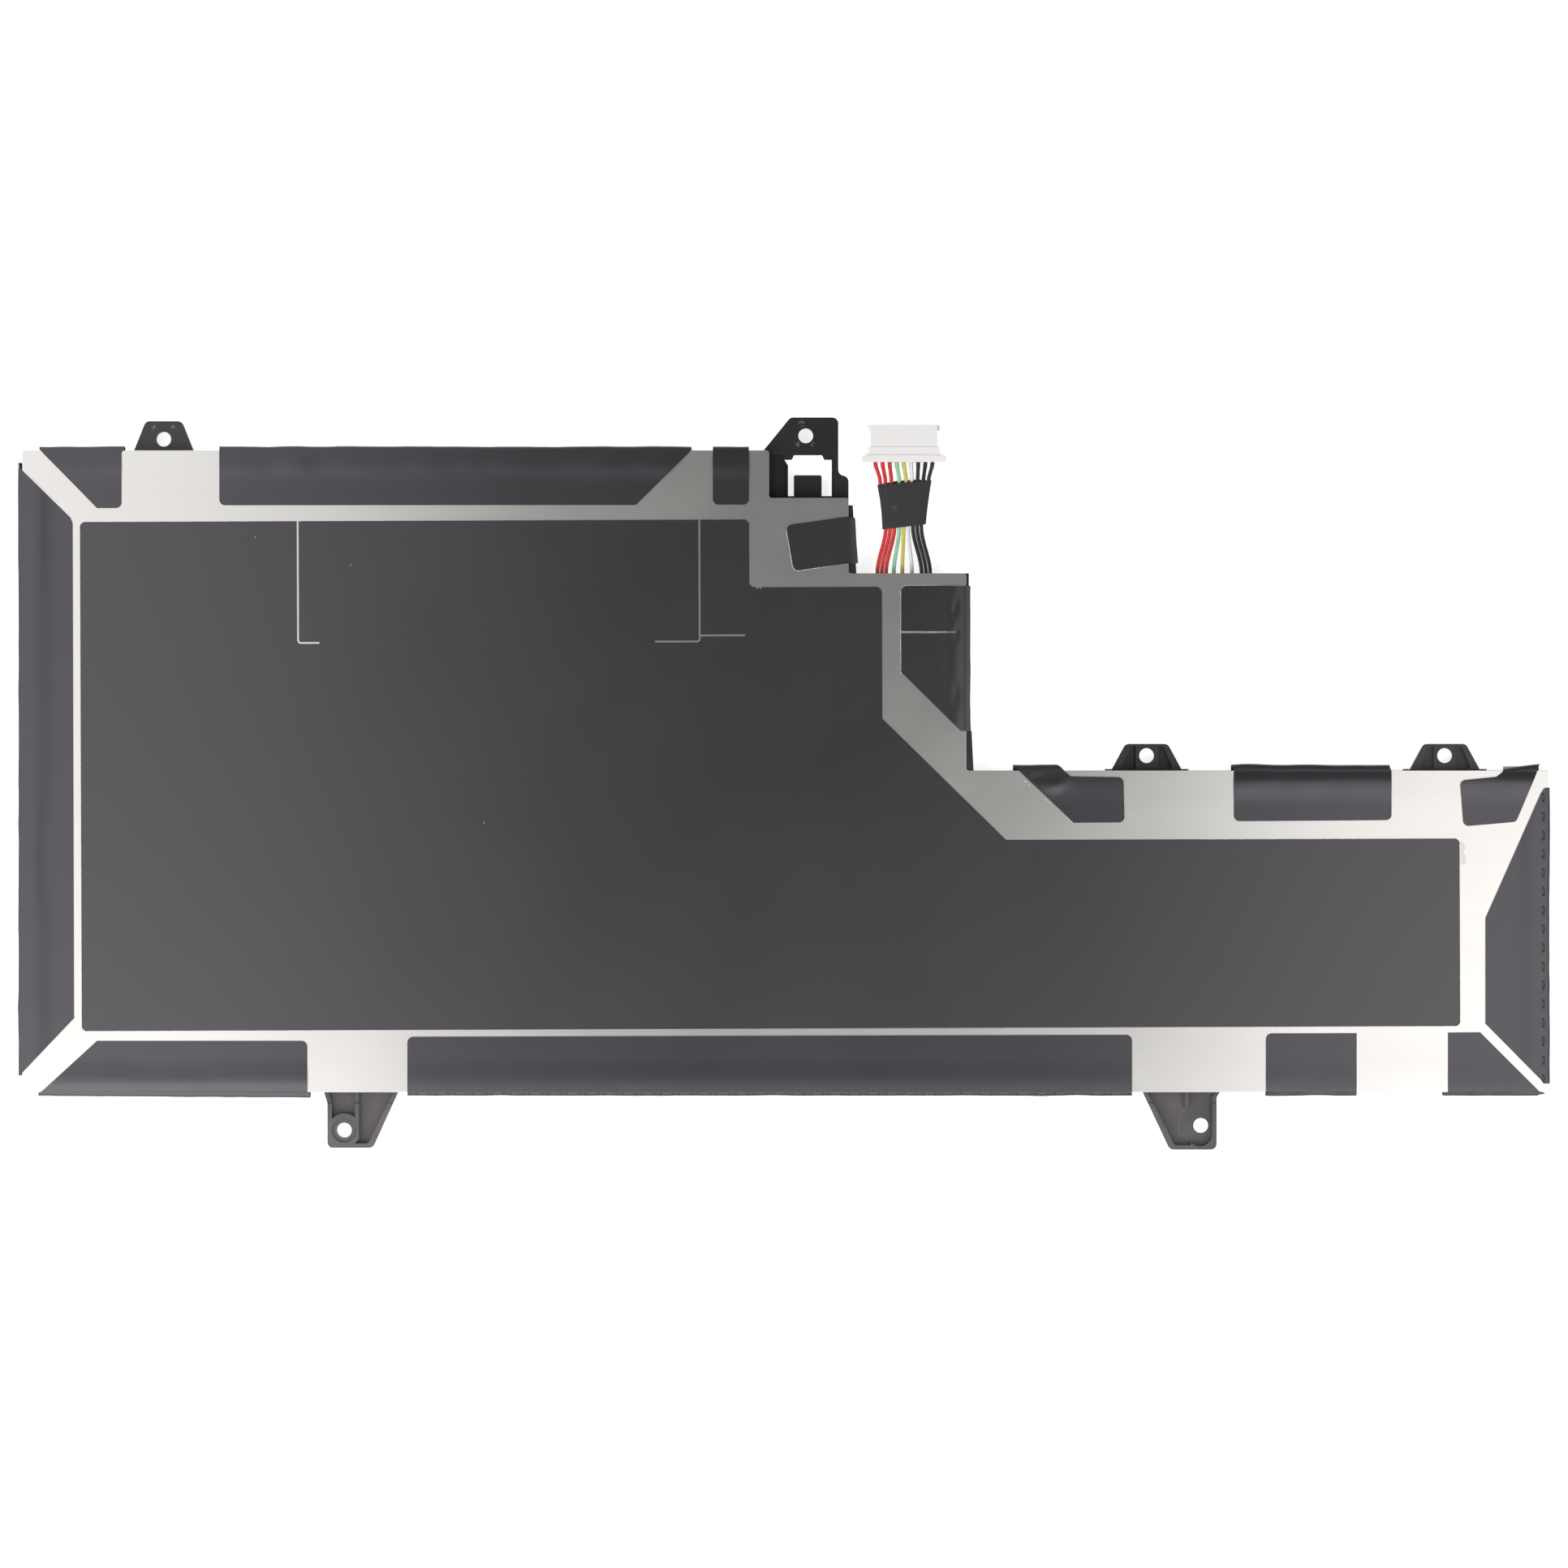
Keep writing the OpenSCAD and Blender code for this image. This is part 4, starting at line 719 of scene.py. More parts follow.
# Inputs 6 and 7 of a mix node are its colours
def mixColor(tree, factor, a, b):
    return addNode(tree, "ShaderNodeMix", {0: factor, 6: a, 7: b}, data_type="RGBA").outputs[2]


def noiseOf(tree, place, scale, detail):
    return addNode(tree, "ShaderNodeTexNoise", {
        "Vector": place, "Scale": scale, "Detail": detail[0], "Roughness": detail[1]}).outputs["Fac"]


# Fine surface grain: a height for a bump, and a slow cloud for colour and roughness
def grainGroup():
    tree, given, made = newGroup(
        "fineGrain", {"Vector": Vector(), "Scale": 3000.0, "Cloud Scale": 40.0},
        {"Height": "Float", "Cloud": "Float"})
    feed(tree, made["Height"],
         noiseOf(tree, given["Vector"], given["Scale"], effects["grainDetail"]))
    feed(tree, made["Cloud"],
         noiseOf(tree, given["Vector"], given["Cloud Scale"], effects["cloudDetail"]))
    return tree


# A group that lays a second colour on the first one, with the mask that its maker returns
def layerGroup(name, second, inputs, makeMask):
    tree, given, made = newGroup(name, {
        "Vector": Vector(), "Color": (0.1, 0.1, 0.1, 1), "Second Color": second, **inputs},
        {"Color": "Color", "Mask": "Float"})
    mask = makeMask(tree, given)
    feed(tree, made["Color"], mixColor(tree, mask, given["Color"], given["Second Color"]))
    feed(tree, made["Mask"], mask)
    return tree


# Rare pale specks
def dustMask(tree, given):
    cells = addNode(tree, "ShaderNodeTexVoronoi",
                    {"Vector": given["Vector"], "Scale": effects["dustScale"]})
    near = addMath(tree, "LESS_THAN", cells.outputs["Distance"], effects["dustSize"])
    pick = addNode(tree, "ShaderNodeSeparateColor", {"Color": cells.outputs["Color"]})
    return addMath(tree, "MULTIPLY", near,
                   addMath(tree, "LESS_THAN", pick.outputs[0], given["Amount"]))


# Pale rubbed edges, where the mesh is marked as an edge band
def wearMask(tree, given):
    band = addNode(tree, "ShaderNodeAttribute", attribute_name="edgeBand")
    patchy = rangeOf(tree, given["Breakup"], *effects["patchRange"])
    worn = addMath(tree, "MULTIPLY", band.outputs["Fac"], patchy)
    worn = addMath(tree, "MULTIPLY", worn, given["Amount"])
    return addNode(tree, "ShaderNodeClamp", {"Value": worn}).outputs[0]


# Thin pale scratches round a place
def scuffMask(tree, given):
    away = addNode(tree, "ShaderNodeVectorMath", {0: given["Vector"], 1: given["Place"]},
                   operation="DISTANCE")
    near = addMath(tree, "SUBTRACT", 1.0,
                   addMath(tree, "DIVIDE", away.outputs["Value"], given["Reach"]))
    rough = noiseOf(tree, given["Vector"], effects["scratchScale"], effects["scratchDetail"])
    torn = addMath(tree, "SUBTRACT", rough, effects["scratchLevel"])
    mask = addMath(tree, "MULTIPLY", addMath(tree, "MULTIPLY", near, torn),
                   effects["scratchContrast"])
    clamp = addNode(tree, "ShaderNodeClamp", {"Value": mask})
    return addMath(tree, "MULTIPLY", clamp.outputs[0], addMath(tree, "GREATER_THAN", near, 0.0))


paleGrey = (0.3, 0.3, 0.3, 1)
groups = {
    "grain": grainGroup(),
    "dust": layerGroup("dustSpecks", effects["dustColor"], {"Amount": 0.02}, dustMask),
    "wear": layerGroup("edgeWear", paleGrey, {"Breakup": 0.5, "Amount": 0.5}, wearMask),
    "scuff": layerGroup("scuff", paleGrey, {"Place": Vector(), "Reach": 0.001}, scuffMask),
}


def useGroup(tree, name, inputs):
    made = tree.nodes.new("ShaderNodeGroup")
    made.node_tree = groups[name]
    for key, value in inputs.items():
        feed(tree, made.inputs[key], value)
    return made.outputs


def objectPlace(tree, stretch=(1, 1, 1)):
    place = tree.nodes.new("ShaderNodeTexCoord")
    return addNode(tree, "ShaderNodeMapping",
                   {"Vector": place.outputs["Object"], "Scale": stretch}).outputs[0]


def solid(color):
    return tuple(color) + (1,)


# The look's colour, from a little darker to a little lighter
def cloudColors(tree, look, share):
    darker, lighter = (solid(c * side for c in look["color"])
                       for side in (1 - look["cloud"], 1 + look["cloud"]))
    return mixColor(tree, share, darker, lighter)


# Colour, roughness, grain and gloss, as every finish ends
def finishShader(tree, shader, look, color, cloud, height):
    feed(tree, shader.inputs["Base Color"], color)
    feed(tree, shader.inputs["Roughness"], rangeOf(
        tree, cloud, look["rough"] - look["roughSpread"], look["rough"] + look["roughSpread"]))
    bump = addNode(tree, "ShaderNodeBump", {
        "Strength": look["bump"], "Distance": look["bumpDepth"], "Height": height})
    feed(tree, shader.inputs["Normal"], bump.outputs[0])
    shader.inputs["Specular IOR Level"].default_value = look["specular"]
    shader.inputs["Specular Tint"].default_value = solid(look["gloss"])
    shader.inputs["Metallic"].default_value = look["metal"]


# Film, moulding and insulation: base colour with slow clouds, grain, dust and worn edges, and, where a
# look asks for it, a painted paler front
def plasticMaterial(name, look):
    made, tree, shader = newMaterial(name)
    place = objectPlace(tree)
    grain = useGroup(tree, "grain", {"Vector": place, "Scale": look["grainScale"],
                                     "Cloud Scale": look["cloudScale"]})
    cloud = rangeOf(tree, grain["Cloud"], *effects["cloudRange"])
    color = cloudColors(tree, look, cloud)
    # Painted light: the colour turns paler towards the front, standing in for the light that falls
    # there
    if "paintedFrontLight" in look:
        start, full, paintedFrontLight = look["paintedFrontLight"]
        split = addNode(tree, "ShaderNodeSeparateXYZ", {0: place})
        share = rangeOf(tree, split.outputs["Y"], 0.0, 1.0, start * mm, full * mm)
        color = mixColor(tree, addMath(tree, "MULTIPLY", share, cloud), color, solid(paintedFrontLight))
    if "dust" in look:
        color = useGroup(tree, "dust", {"Vector": place, "Color": color,
                                        "Amount": look["dust"]})["Color"]
    if "wear" in look:
        color = useGroup(tree, "wear", {"Color": color, "Amount": look["wear"],
                                        "Second Color": solid(look["wornColor"]),
                                        "Breakup": grain["Cloud"]})["Color"]
    for spot, reach in look.get("scuffs", ()):
        color = useGroup(tree, "scuff", {"Vector": place, "Color": color, "Reach": reach * mm,
                                         "Second Color": solid(look["wornColor"]),
                                         "Place": Vector(spot) * mm})["Color"]
    finishShader(tree, shader, look, color, grain["Cloud"], grain["Height"])
    if "through" in look:
        shader.inputs["Subsurface Weight"].default_value = look["through"]
        shader.inputs["Subsurface Radius"].default_value = look["throughReach"]
    return made


plainLook = {
    "cloud": 0.1,
    "cloudScale": 40.0,
    "grainScale": 900,
    "rough": 0.3,
    "roughSpread": 0.05,
    "bump": 0.1,
    "bumpDepth": 0.00003,
    "specular": 0.5,
    "gloss": (1, 1, 1),
    "metal": 0.0,
}
filmLook = {"grainScale": 2600, "roughSpread": 0.03, "bump": 0.06, "bumpDepth": 0.00002,
            "specular": 0.8}
markLook = {"grainScale": 2000, "bumpDepth": 0.00002}
wireLook = {"cloudScale": 300}
metalLook = {"grainScale": 1500, "bumpDepth": 0.00002, "metal": 1.0}
looks = {  # each holds what differs from plainLook
    "wrapFilm": {**filmLook, "color": (0.0165, 0.0155, 0.0175), "rough": 0.36, "dust": 0.015,
                 "gloss": (0.97, 0.92, 1.0)},
    "plateFilm": {**filmLook, "color": (0.0165, 0.0155, 0.017), "cloud": 0.08, "rough": 0.37,
                  "dust": 0.012, "gloss": (0.98, 0.93, 1.0)},
    "frame": {"color": (0.007, 0.007, 0.008), "cloud": 0.25, "grainScale": 1800, "rough": 0.42,
              "roughSpread": 0.08, "bump": 0.25, "bumpDepth": 0.00004, "wear": 0.3, "specular": 0.6,
              "paintedFrontLight": (-50, -55, (0.105, 0.092, 0.102)),  # painted light: the front lugs are painted paler, standing in for the light that falls on them from the front
              "wornColor": (0.12, 0.12, 0.13), "dust": 0.02,
              "scuffs": (((3.1, 63.1, 3), 0.7), ((2.4, 59.4, 3), 0.5), ((5.1, 59.4, 3), 0.5),
                         ((-110.4, 62.4, 3), 0.5), ((-106.9, 62.4, 3), 0.5))},
    "knitLine": {"color": (0.16, 0.155, 0.16), "cloud": 0.2, "grainScale": 1800, "rough": 0.4,
                 "bump": 0.2, "specular": 0.75},
    # pale beads along cut edges: partly adhesive, partly a painted edge highlight
    "adhesiveGlint": {**markLook, "color": (0.6, 0.59, 0.6), "rough": 0.35},
    "residue": {"color": (0.78, 0.7, 0.72), "cloud": 0.08, "grainScale": 2000, "rough": 0.55,
                "bump": 0.2},
    "lint": {**markLook, "color": (0.5, 0.38, 0.38), "rough": 0.6},
    # near black: the colour of the dark speck, and painted shade on the walls of the film's slots
    "darkSpeckAndShade": {**markLook, "color": (0.01, 0.01, 0.01), "rough": 0.6},
    "harnessTape": {"color": (0.02, 0.02, 0.021), "cloud": 0.12, "grainScale": 2400, "rough": 0.7,
                    "roughSpread": 0.08, "bump": 0.5, "bumpDepth": 0.00004, "dust": 0.03,
                    "wornColor": (0.07, 0.07, 0.07), "scuffs": (((19.25, 48.2, 2.9), 0.7),)},
    "plug": {"color": (0.9, 0.88, 0.87), "cloud": 0.02, "rough": 0.45, "bump": 0.05,
             "specular": 0.35, "through": 0.9, "throughReach": (0.0015, 0.0014, 0.0012)},
    "wireRed": {**wireLook, "color": (0.66, 0.035, 0.03), "cloud": 0.12, "rough": 0.28},
    "wireGreen": {**wireLook, "color": (0.33, 0.64, 0.42)},
    "wireYellow": {**wireLook, "color": (0.62, 0.57, 0.12)},
    "wireWhite": {**wireLook, "color": (0.8, 0.8, 0.84), "cloud": 0.04},
    "wireBlack": {**wireLook, "color": (0.02, 0.02, 0.022), "cloud": 0.2, "rough": 0.25},
    "pouch": {"color": (0.62, 0.62, 0.61), "cloud": 0.06, "grainScale": 500, "rough": 0.42,
              "roughSpread": 0.08, "bump": 0.3, "bumpDepth": 0.00008, "metal": 0.9},
    "cellTape": {"color": (0.8, 0.8, 0.76), "cloud": 0.04, "rough": 0.5},
    "tabAluminium": {**metalLook, "color": (0.82, 0.82, 0.83), "cloud": 0.04, "rough": 0.35,
                     "roughSpread": 0.06},
    "tabNickel": {**metalLook, "color": (0.64, 0.6, 0.54), "cloud": 0.05, "roughSpread": 0.06},
    "board": {"color": (0.02, 0.13, 0.06), "grainScale": 700, "rough": 0.28, "bump": 0.2},
    "insulator": {"color": (0.7, 0.6, 0.3), "cloud": 0.08, "rough": 0.4},
    "chip": {"color": (0.03, 0.03, 0.031), "grainScale": 3000, "rough": 0.6, "roughSpread": 0.06,
             "bump": 0.3},
    "fuse": {"color": (0.7, 0.69, 0.62), "cloud": 0.05, "grainScale": 2000, "rough": 0.5,
             "bump": 0.2},
    "capacitor": {"color": (0.45, 0.34, 0.2), "cloud": 0.08, "grainScale": 2000, "rough": 0.45,
                  "bump": 0.2},
    "solder": {"color": (0.68, 0.68, 0.68), "cloud": 0.05, "rough": 0.25, "roughSpread": 0.08,
               "bump": 0.3, "bumpDepth": 0.00006, "metal": 1.0},
    "contact": {**metalLook, "color": (0.45, 0.42, 0.38), "rough": 0.42, "roughSpread": 0.08},
}
materials = {name: plasticMaterial(name, {**plainLook, **look}) for name, look in looks.items()}

steelLook = {
    **plainLook,
    "color": (0.60, 0.585, 0.565),
    "cloud": 0.035,
    "cloudScale": 260.0,
    "markScale": 55.0,
    "grainShare": 0.5,  # of the clouding that follows the rolled grain
    "rough": 0.34,
    "roughSpread": 0.03,
    "grainStretch": (0.06, 1.0, 1.0),
    "bump": 0.05,
    "bumpDepth": 0.00002,
    "metal": 1.0,
}


# Satin cold-rolled steel: fine grain along the pack, with faint cloudy marks
def steelMaterial(look):
    made, tree, shader = newMaterial("satinSteel")
    grain = useGroup(tree, "grain", {"Vector": objectPlace(tree, look["grainStretch"]),
                                     "Scale": look["grainScale"],
                                     "Cloud Scale": look["cloudScale"]})
    marks = useGroup(tree, "grain", {"Vector": objectPlace(tree),
                                     "Cloud Scale": look["markScale"]})
    both = addMath(tree, "MULTIPLY_ADD", grain["Cloud"], look["grainShare"],
                   addMath(tree, "MULTIPLY", marks["Cloud"], 1 - look["grainShare"]))
    color = cloudColors(tree, look, rangeOf(tree, both, *effects["steelRange"]))
    finishShader(tree, shader, look, color, marks["Cloud"], grain["Height"])
    return made


materials["steel"] = steelMaterial(steelLook)
print("materials made:", len(materials))


# Presses a row of short slots into the sheet where it is marked as slotted, and gives their side walls
# a near-black material as painted shade
def slotTree(inputs):
    tree, given, made = newTree("pressSlots", inputs)
    along, across, slotted = (readAttribute(tree, label) for label in ("along", "across", "slotted"))
    turns = addMath(tree, "DIVIDE", along, given["Pitch"])
    inSlot = addMath(tree, "LESS_THAN", addMath(tree, "FRACT", turns), given["Slot Share"])
    within = addMath(tree, "COMPARE", across, 0.5, given["Half Width"])
    marked = addMath(tree, "GREATER_THAN", slotted, given["Least Share"])
    pick = addMath(tree, "MULTIPLY", addMath(tree, "MULTIPLY", inSlot, marked), within)
    sink = addMath(tree, "MULTIPLY", given["Depth"], -1.0)
    pressed = addNode(tree, "GeometryNodeExtrudeMesh", {
        "Mesh": given["Geometry"], "Selection": pick, "Individual": False,
        "Offset Scale": addMath(tree, "MULTIPLY", sink, slotted)}, mode="FACES")
    narrow = addNode(tree, "GeometryNodeScaleElements", {
        "Geometry": pressed.outputs["Mesh"], "Selection": pressed.outputs["Top"],
        "Scale": given["Floor Share"]}, domain="FACE")
    flat = addNode(tree, "GeometryNodeSetShadeSmooth", {
        "Geometry": narrow.outputs[0], "Selection": pressed.outputs["Side"],
        "Shade Smooth": False}, domain="FACE")
    # Painted shade: the slots' side walls get a near-black material that stands in for the shade
    # inside them
    walls = addNode(tree, "GeometryNodeSetMaterial", {
        "Geometry": dressReal(tree, flat.outputs[0], given["Material"]),
        "Material": given["Painted Wall Shade"], "Selection": pressed.outputs["Side"]})
    feed(tree, made[0], walls.outputs[0])
    return tree


cutEdgeAngle = 50  # degrees: sharper edges of a sheet are shaded as cut


def thicken(piece, thickness):
    wall = piece.modifiers.new("thickness", "SOLIDIFY")
    wall.thickness = thickness * mm
    wall.offset = -1
    wall.use_even_offset = True
    applyModifiers(piece)
    piece.data.set_sharp_from_angle(angle=math.radians(cutEdgeAngle))


def addFilm():
    piece = foldSheet("foldedFilm", flaps, pack["filmUnder"], True)
    runTree(piece, slotTree, {
        "Pitch": slots["pitch"], "Slot Share": slots["share"], "Half Width": slots["halfWidth"],
        "Depth": slots["depth"] * mm, "Least Share": slots["leastShare"],
        "Floor Share": slots["floorShare"],
        # the slots' walls take the near-black material as painted shade
        "Material": materials["wrapFilm"], "Painted Wall Shade": materials["darkSpeckAndShade"]})
    thicken(piece, film["thickness"])
    finishPiece(piece, "wrap_film", "wrap_film")
    for name, outline, node, rise in (("strapTape", strapOutline, "strap_tape", 0),
                                      ("sideTape", sideTapeOutline, "side_tape", film["foldRadius"])):
        tape = foldSheet(name, outline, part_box(node)[0].z / mm - rise, False)
        tape.data.materials.append(materials["wrapFilm"])
        thicken(tape, film["thickness"])
        finishPiece(tape, "wrap_film", node)


addFilm()
print("film folded")

# Flat sleeve of tape round the wires, open at both ends, with a soft ridge over each wire
sleeve = {
    "left": ((17.2, 44.5), (16.3, 52.3), 0.19),  # lower end, upper end, bow
    "right": ((24.85, 45.4), (25.86, 53.1), -0.09),
    "halfHeight": 0.58,
    "thickness": 0.12,
    "squareness": (0.4, 0.45),  # across and up: 1 is round, and less is squarer
    "ridge": 0.03,
    "ridges": 9,
    "backRise": 0.45,
    "backCurve": 6,  # how late up the sleeve that rise sets in
    "waver": 0.05,
    "waverRate": (4, 2, 8.0),  # of its noise, across and up, and the row that it is read from
    "facesUp": 0.5,  # least upward part of the normal of a face on top
    "rows": 16,
    "sides": 72,
}


# Point of the sleeve: t runs up it from 0 to 1, and across and up from -1 to 1
def sleevePoint(s, t, across, up):
    (lx, ly), (rx, ry) = (
        (a[0] + (b[0] - a[0]) * t + bow * 4 * t * (1 - t), a[1] + (b[1] - a[1]) * t)
        for a, b, bow in (s["left"], s["right"]))
    share = (across + 1) / 2
    y = ly + (ry - ly) * share
    acrossRate, upRate, row = s["waverRate"]
    y += s["waver"] * noise.noise(Vector((across * acrossRate, t * upRate, row)))
    if up < 0:  # the back layer stands out a little past the front one at the top
        y += s["backRise"] * t ** s["backCurve"] * math.sin(math.pi * share) * -up
    ridge = s["ridge"] * math.cos(s["ridges"] * math.pi * across) * abs(up)
    z = alongRoute(cable["heights"], y) + up * (s["halfHeight"] - s["ridge"] + ridge)
    return lx + (rx - lx) * share, y, z


def addSleeve(s):
    points = []
    for j in range(s["rows"] + 1):
        for k in range(s["sides"]):
            turn = 2 * math.pi * (k + 0.5) / s["sides"]
            across, up = (math.copysign(abs(v) ** power, v)
                          for v, power in zip((math.cos(turn), math.sin(turn)), s["squareness"]))
            points.append(sleevePoint(s, j / s["rows"], across, up))
    n = s["sides"]
    faces = [(j * n + k, j * n + (k + 1) % n, (j + 1) * n + (k + 1) % n, (j + 1) * n + k)
             for j in range(s["rows"]) for k in range(n)]
    piece = meshObject("wireSleeve", points, faces)
    work = bmesh.new()
    work.from_mesh(piece.data)
    top = [f for f in work.faces if f.normal.z > s["facesUp"]]
    middle = alongRoute(cable["heights"], (s["left"][0][1] + s["right"][1][1]) / 2) * mm
    if sum(f.calc_center_median().z for f in top) / len(top) < middle:
        bmesh.ops.reverse_faces(work, faces=work.faces)
    work.to_mesh(piece.data)
    work.free()
    piece.data.materials.append(materials["harnessTape"])
    thicken(piece, s["thickness"])
    finishPiece(piece, "harness_tape", "harness_tape")


addSleeve(sleeve)
print("sleeve made")

# Crimped ends of the contacts, which grip the wires just outside the plug
crimps = {
    "at": 55.75,
    "aim": 0.4,  # reach along the wire, either way, that gives its direction
    "length": 1.0,
    "radius": 0.39,
    "sweep": 205,
    "start": -12,  # degrees
    "facets": 14,
    "thickness": 0.04,
}


# An open barrel round each wire, turned along it
def crimpTree(inputs):
    tree, given, made = newTree("crimpBarrels", inputs)
    half = addMath(tree, "MULTIPLY", given["Length"], 0.5)
    line = addNode(tree, "GeometryNodeCurvePrimitiveLine", {
        "Start": combine(tree, Y=addMath(tree, "MULTIPLY", half, -1.0)),
        "End": combine(tree, Y=half)})
    arc = addNode(tree, "GeometryNodeCurveArc", {
        "Resolution": given["Facets"], "Radius": given["Radius"],
        "Start Angle": given["Start"], "Sweep Angle": given["Sweep"]})
    barrel = addNode(tree, "GeometryNodeCurveToMesh",
                     {"Curve": line.outputs[0], "Profile Curve": arc.outputs["Curve"]})
    placed = addNode(tree, "GeometryNodeInstanceOnPoints", {
        "Points": given["Geometry"], "Instance": barrel.outputs[0],
        "Rotation": combine(tree, Z=readAttribute(tree, "turn"))})
    feed(tree, made[0], dressReal(tree, placed.outputs[0], given["Material"]))
    return tree


def addCrimps(c):
    points, turns = [], []
    for route in wireRoutes.values():
        points.append(wirePoint(route, c["at"]))
        ahead = wirePoint(route, c["at"] + c["aim"]) - wirePoint(route, c["at"] - c["aim"])
        turns.append(math.atan2(-ahead.x, ahead.y))
    piece = meshObject("crimpBarrels", points, [])
    setPointValues(piece.data, "turn", turns)
    runTree(piece, crimpTree, {
        "Length": c["length"] * mm, "Radius": c["radius"] * mm, "Start": math.radians(c["start"]),
        "Sweep": math.radians(c["sweep"]), "Facets": c["facets"], "Material": materials["contact"]})
    thicken(piece, c["thickness"])
    finishPiece(piece, "contact")


addCrimps(crimps)
print("contacts crimped")

# Film on the plate, laid a little askew, with a toothed edge as from a roll's cutter
coverFilm = {
    "thickness": 0.12,
    "turn": math.radians(0.21),
    "cornerRadius": 1.0,
    "cornerSteps": 6,
    "slitSteps": 3,
    "slitWidth": 0.33,
    "slitRun": 21.5,
    "toothPitch": 0.49,
    "toothDepth": 0.09,
    "leastTooth": 0.45,  # share of that depth
    "seed": 7,
    "mergeWithin": 0.002,
    "left": -123.05, "front": -42.9, "right": 118.2, "arm": -10.0, "slopeEnd": 38.85,
    "bay": 17.25, "slopeStart": 11.3, "bayRear": 34.35, "main": -5.95, "rear": 46.25,
    "plainRun": 34,  # the arm's rear edge has no teeth this near the slope
    "slits": ((-85.1, 3.9), (-14.5, -8.0)),  # place, and reach of the foot to the side
    "branchReach": 7.8,
    "branchRise": 1.05,
}


# Corners of the film as (x, y, rounding radius, whether the run that follows is toothed)
def coverOutline(c):
    w, r = c["slitWidth"], c["cornerRadius"]
    foot = c["rear"] - c["slitRun"]
    (x1, foot1), (x2, foot2) = c["slits"]
    branch = foot + c["branchRise"]
    return [
        (c["left"], c["front"], r, 1), (c["right"], c["front"], r, 1), (c["right"], c["arm"], r, 1),
        (c["slopeEnd"] + c["plainRun"], c["arm"], 0, 0), (c["slopeEnd"], c["arm"], 0, 0),
        (c["bay"], c["slopeStart"], 0, 0), (c["bay"], c["bayRear"], r, 0),
        (c["main"], c["bayRear"], r, 0), (c["main"], c["rear"], r, 1),
        (x2, c["rear"], 0, 0), (x2, branch + w, 0, 0), (x2 + c["branchReach"], branch + w, 0, 0),
        (x2 + c["branchReach"], branch, 0, 0), (x2, branch, 0, 0), (x2, foot, 2 * w, 0),
        (x2 + foot2, foot, 0, 0), (x2 + foot2, foot + w, 0, 0), (x2 - w, foot + w, w, 0),
        (x2 - w, c["rear"], 0, 1), (x1 + w, c["rear"], 0, 0), (x1 + w, foot + w, w, 0),
        (x1 + foot1, foot + w, 0, 0), (x1 + foot1, foot, 0, 0), (x1, foot, 2 * w, 0),
        (x1, c["rear"], 0, 1), (c["left"], c["rear"], r, 1),
    ]


# Cuts the teeth into the outline, fills it and gives it its thickness
def coverEdgeTree(inputs):
    tree, given, made = newTree("toothedSheet", inputs)
    depth = addMath(tree, "MULTIPLY", readAttribute(tree, "tooth"), given["Tooth Depth"])
    depth = addMath(tree, "MULTIPLY", depth,
                    randomValue(tree, given["Least Tooth"], 1.0, given["Seed"]))
    inward = readAttribute(tree, "inward", "FLOAT_VECTOR")
    shift = addNode(tree, "ShaderNodeVectorMath", {"Vector": inward, "Scale": depth},
                    operation="SCALE")
    moved = addNode(tree, "GeometryNodeSetPosition",
                    {"Geometry": given["Geometry"], "Offset": shift.outputs[0]})
    loop = addNode(tree, "GeometryNodeMeshToCurve", {"Mesh": moved.outputs[0]})
    filled = addNode(tree, "GeometryNodeFillCurve", {"Curve": loop.outputs[0]}, mode="TRIANGLES")
    laid = addNode(tree, "GeometryNodeSetPosition", {
        "Geometry": filled.outputs[0], "Offset": combine(tree, Z=given["Height"])})
    raised = addNode(tree, "GeometryNodeExtrudeMesh", {
        "Mesh": laid.outputs[0], "Offset": combine(tree, Z=given["Thickness"]),
        "Individual": False}, mode="FACES")
    under = addNode(tree, "GeometryNodeFlipFaces", {"Mesh": laid.outputs[0]})
    both = tree.nodes.new("GeometryNodeJoinGeometry")
    for part in (under.outputs[0], raised.outputs["Mesh"]):
        tree.links.new(part, both.inputs[0])
    merged = addNode(tree, "GeometryNodeMergeByDistance",
                     {"Geometry": both.outputs[0], "Distance": given["Merge Within"]})
    feed(tree, made[0], dressReal(tree, merged.outputs[0], given["Material"]))
    return tree


# The rounded outline, and for each of its points whether the run that follows is toothed
def coverPath(c):
    corners = coverOutline(c)
    path, toothRun = [], []
    for i, (x, y, r, toothed) in enumerate(corners):
        before, after = Vector(corners[i - 1][:2]), Vector(corners[(i + 1) % len(corners)][:2])
        steps = c["cornerSteps"] if r > c["slitWidth"] else c["slitSteps"]
        turned = roundCorner(before, Vector((x, y)), after, r, steps) if r else [Vector((x, y))]
        path += turned
        toothRun += [0] * (len(turned) - 1) + [toothed]
    return path, toothRun


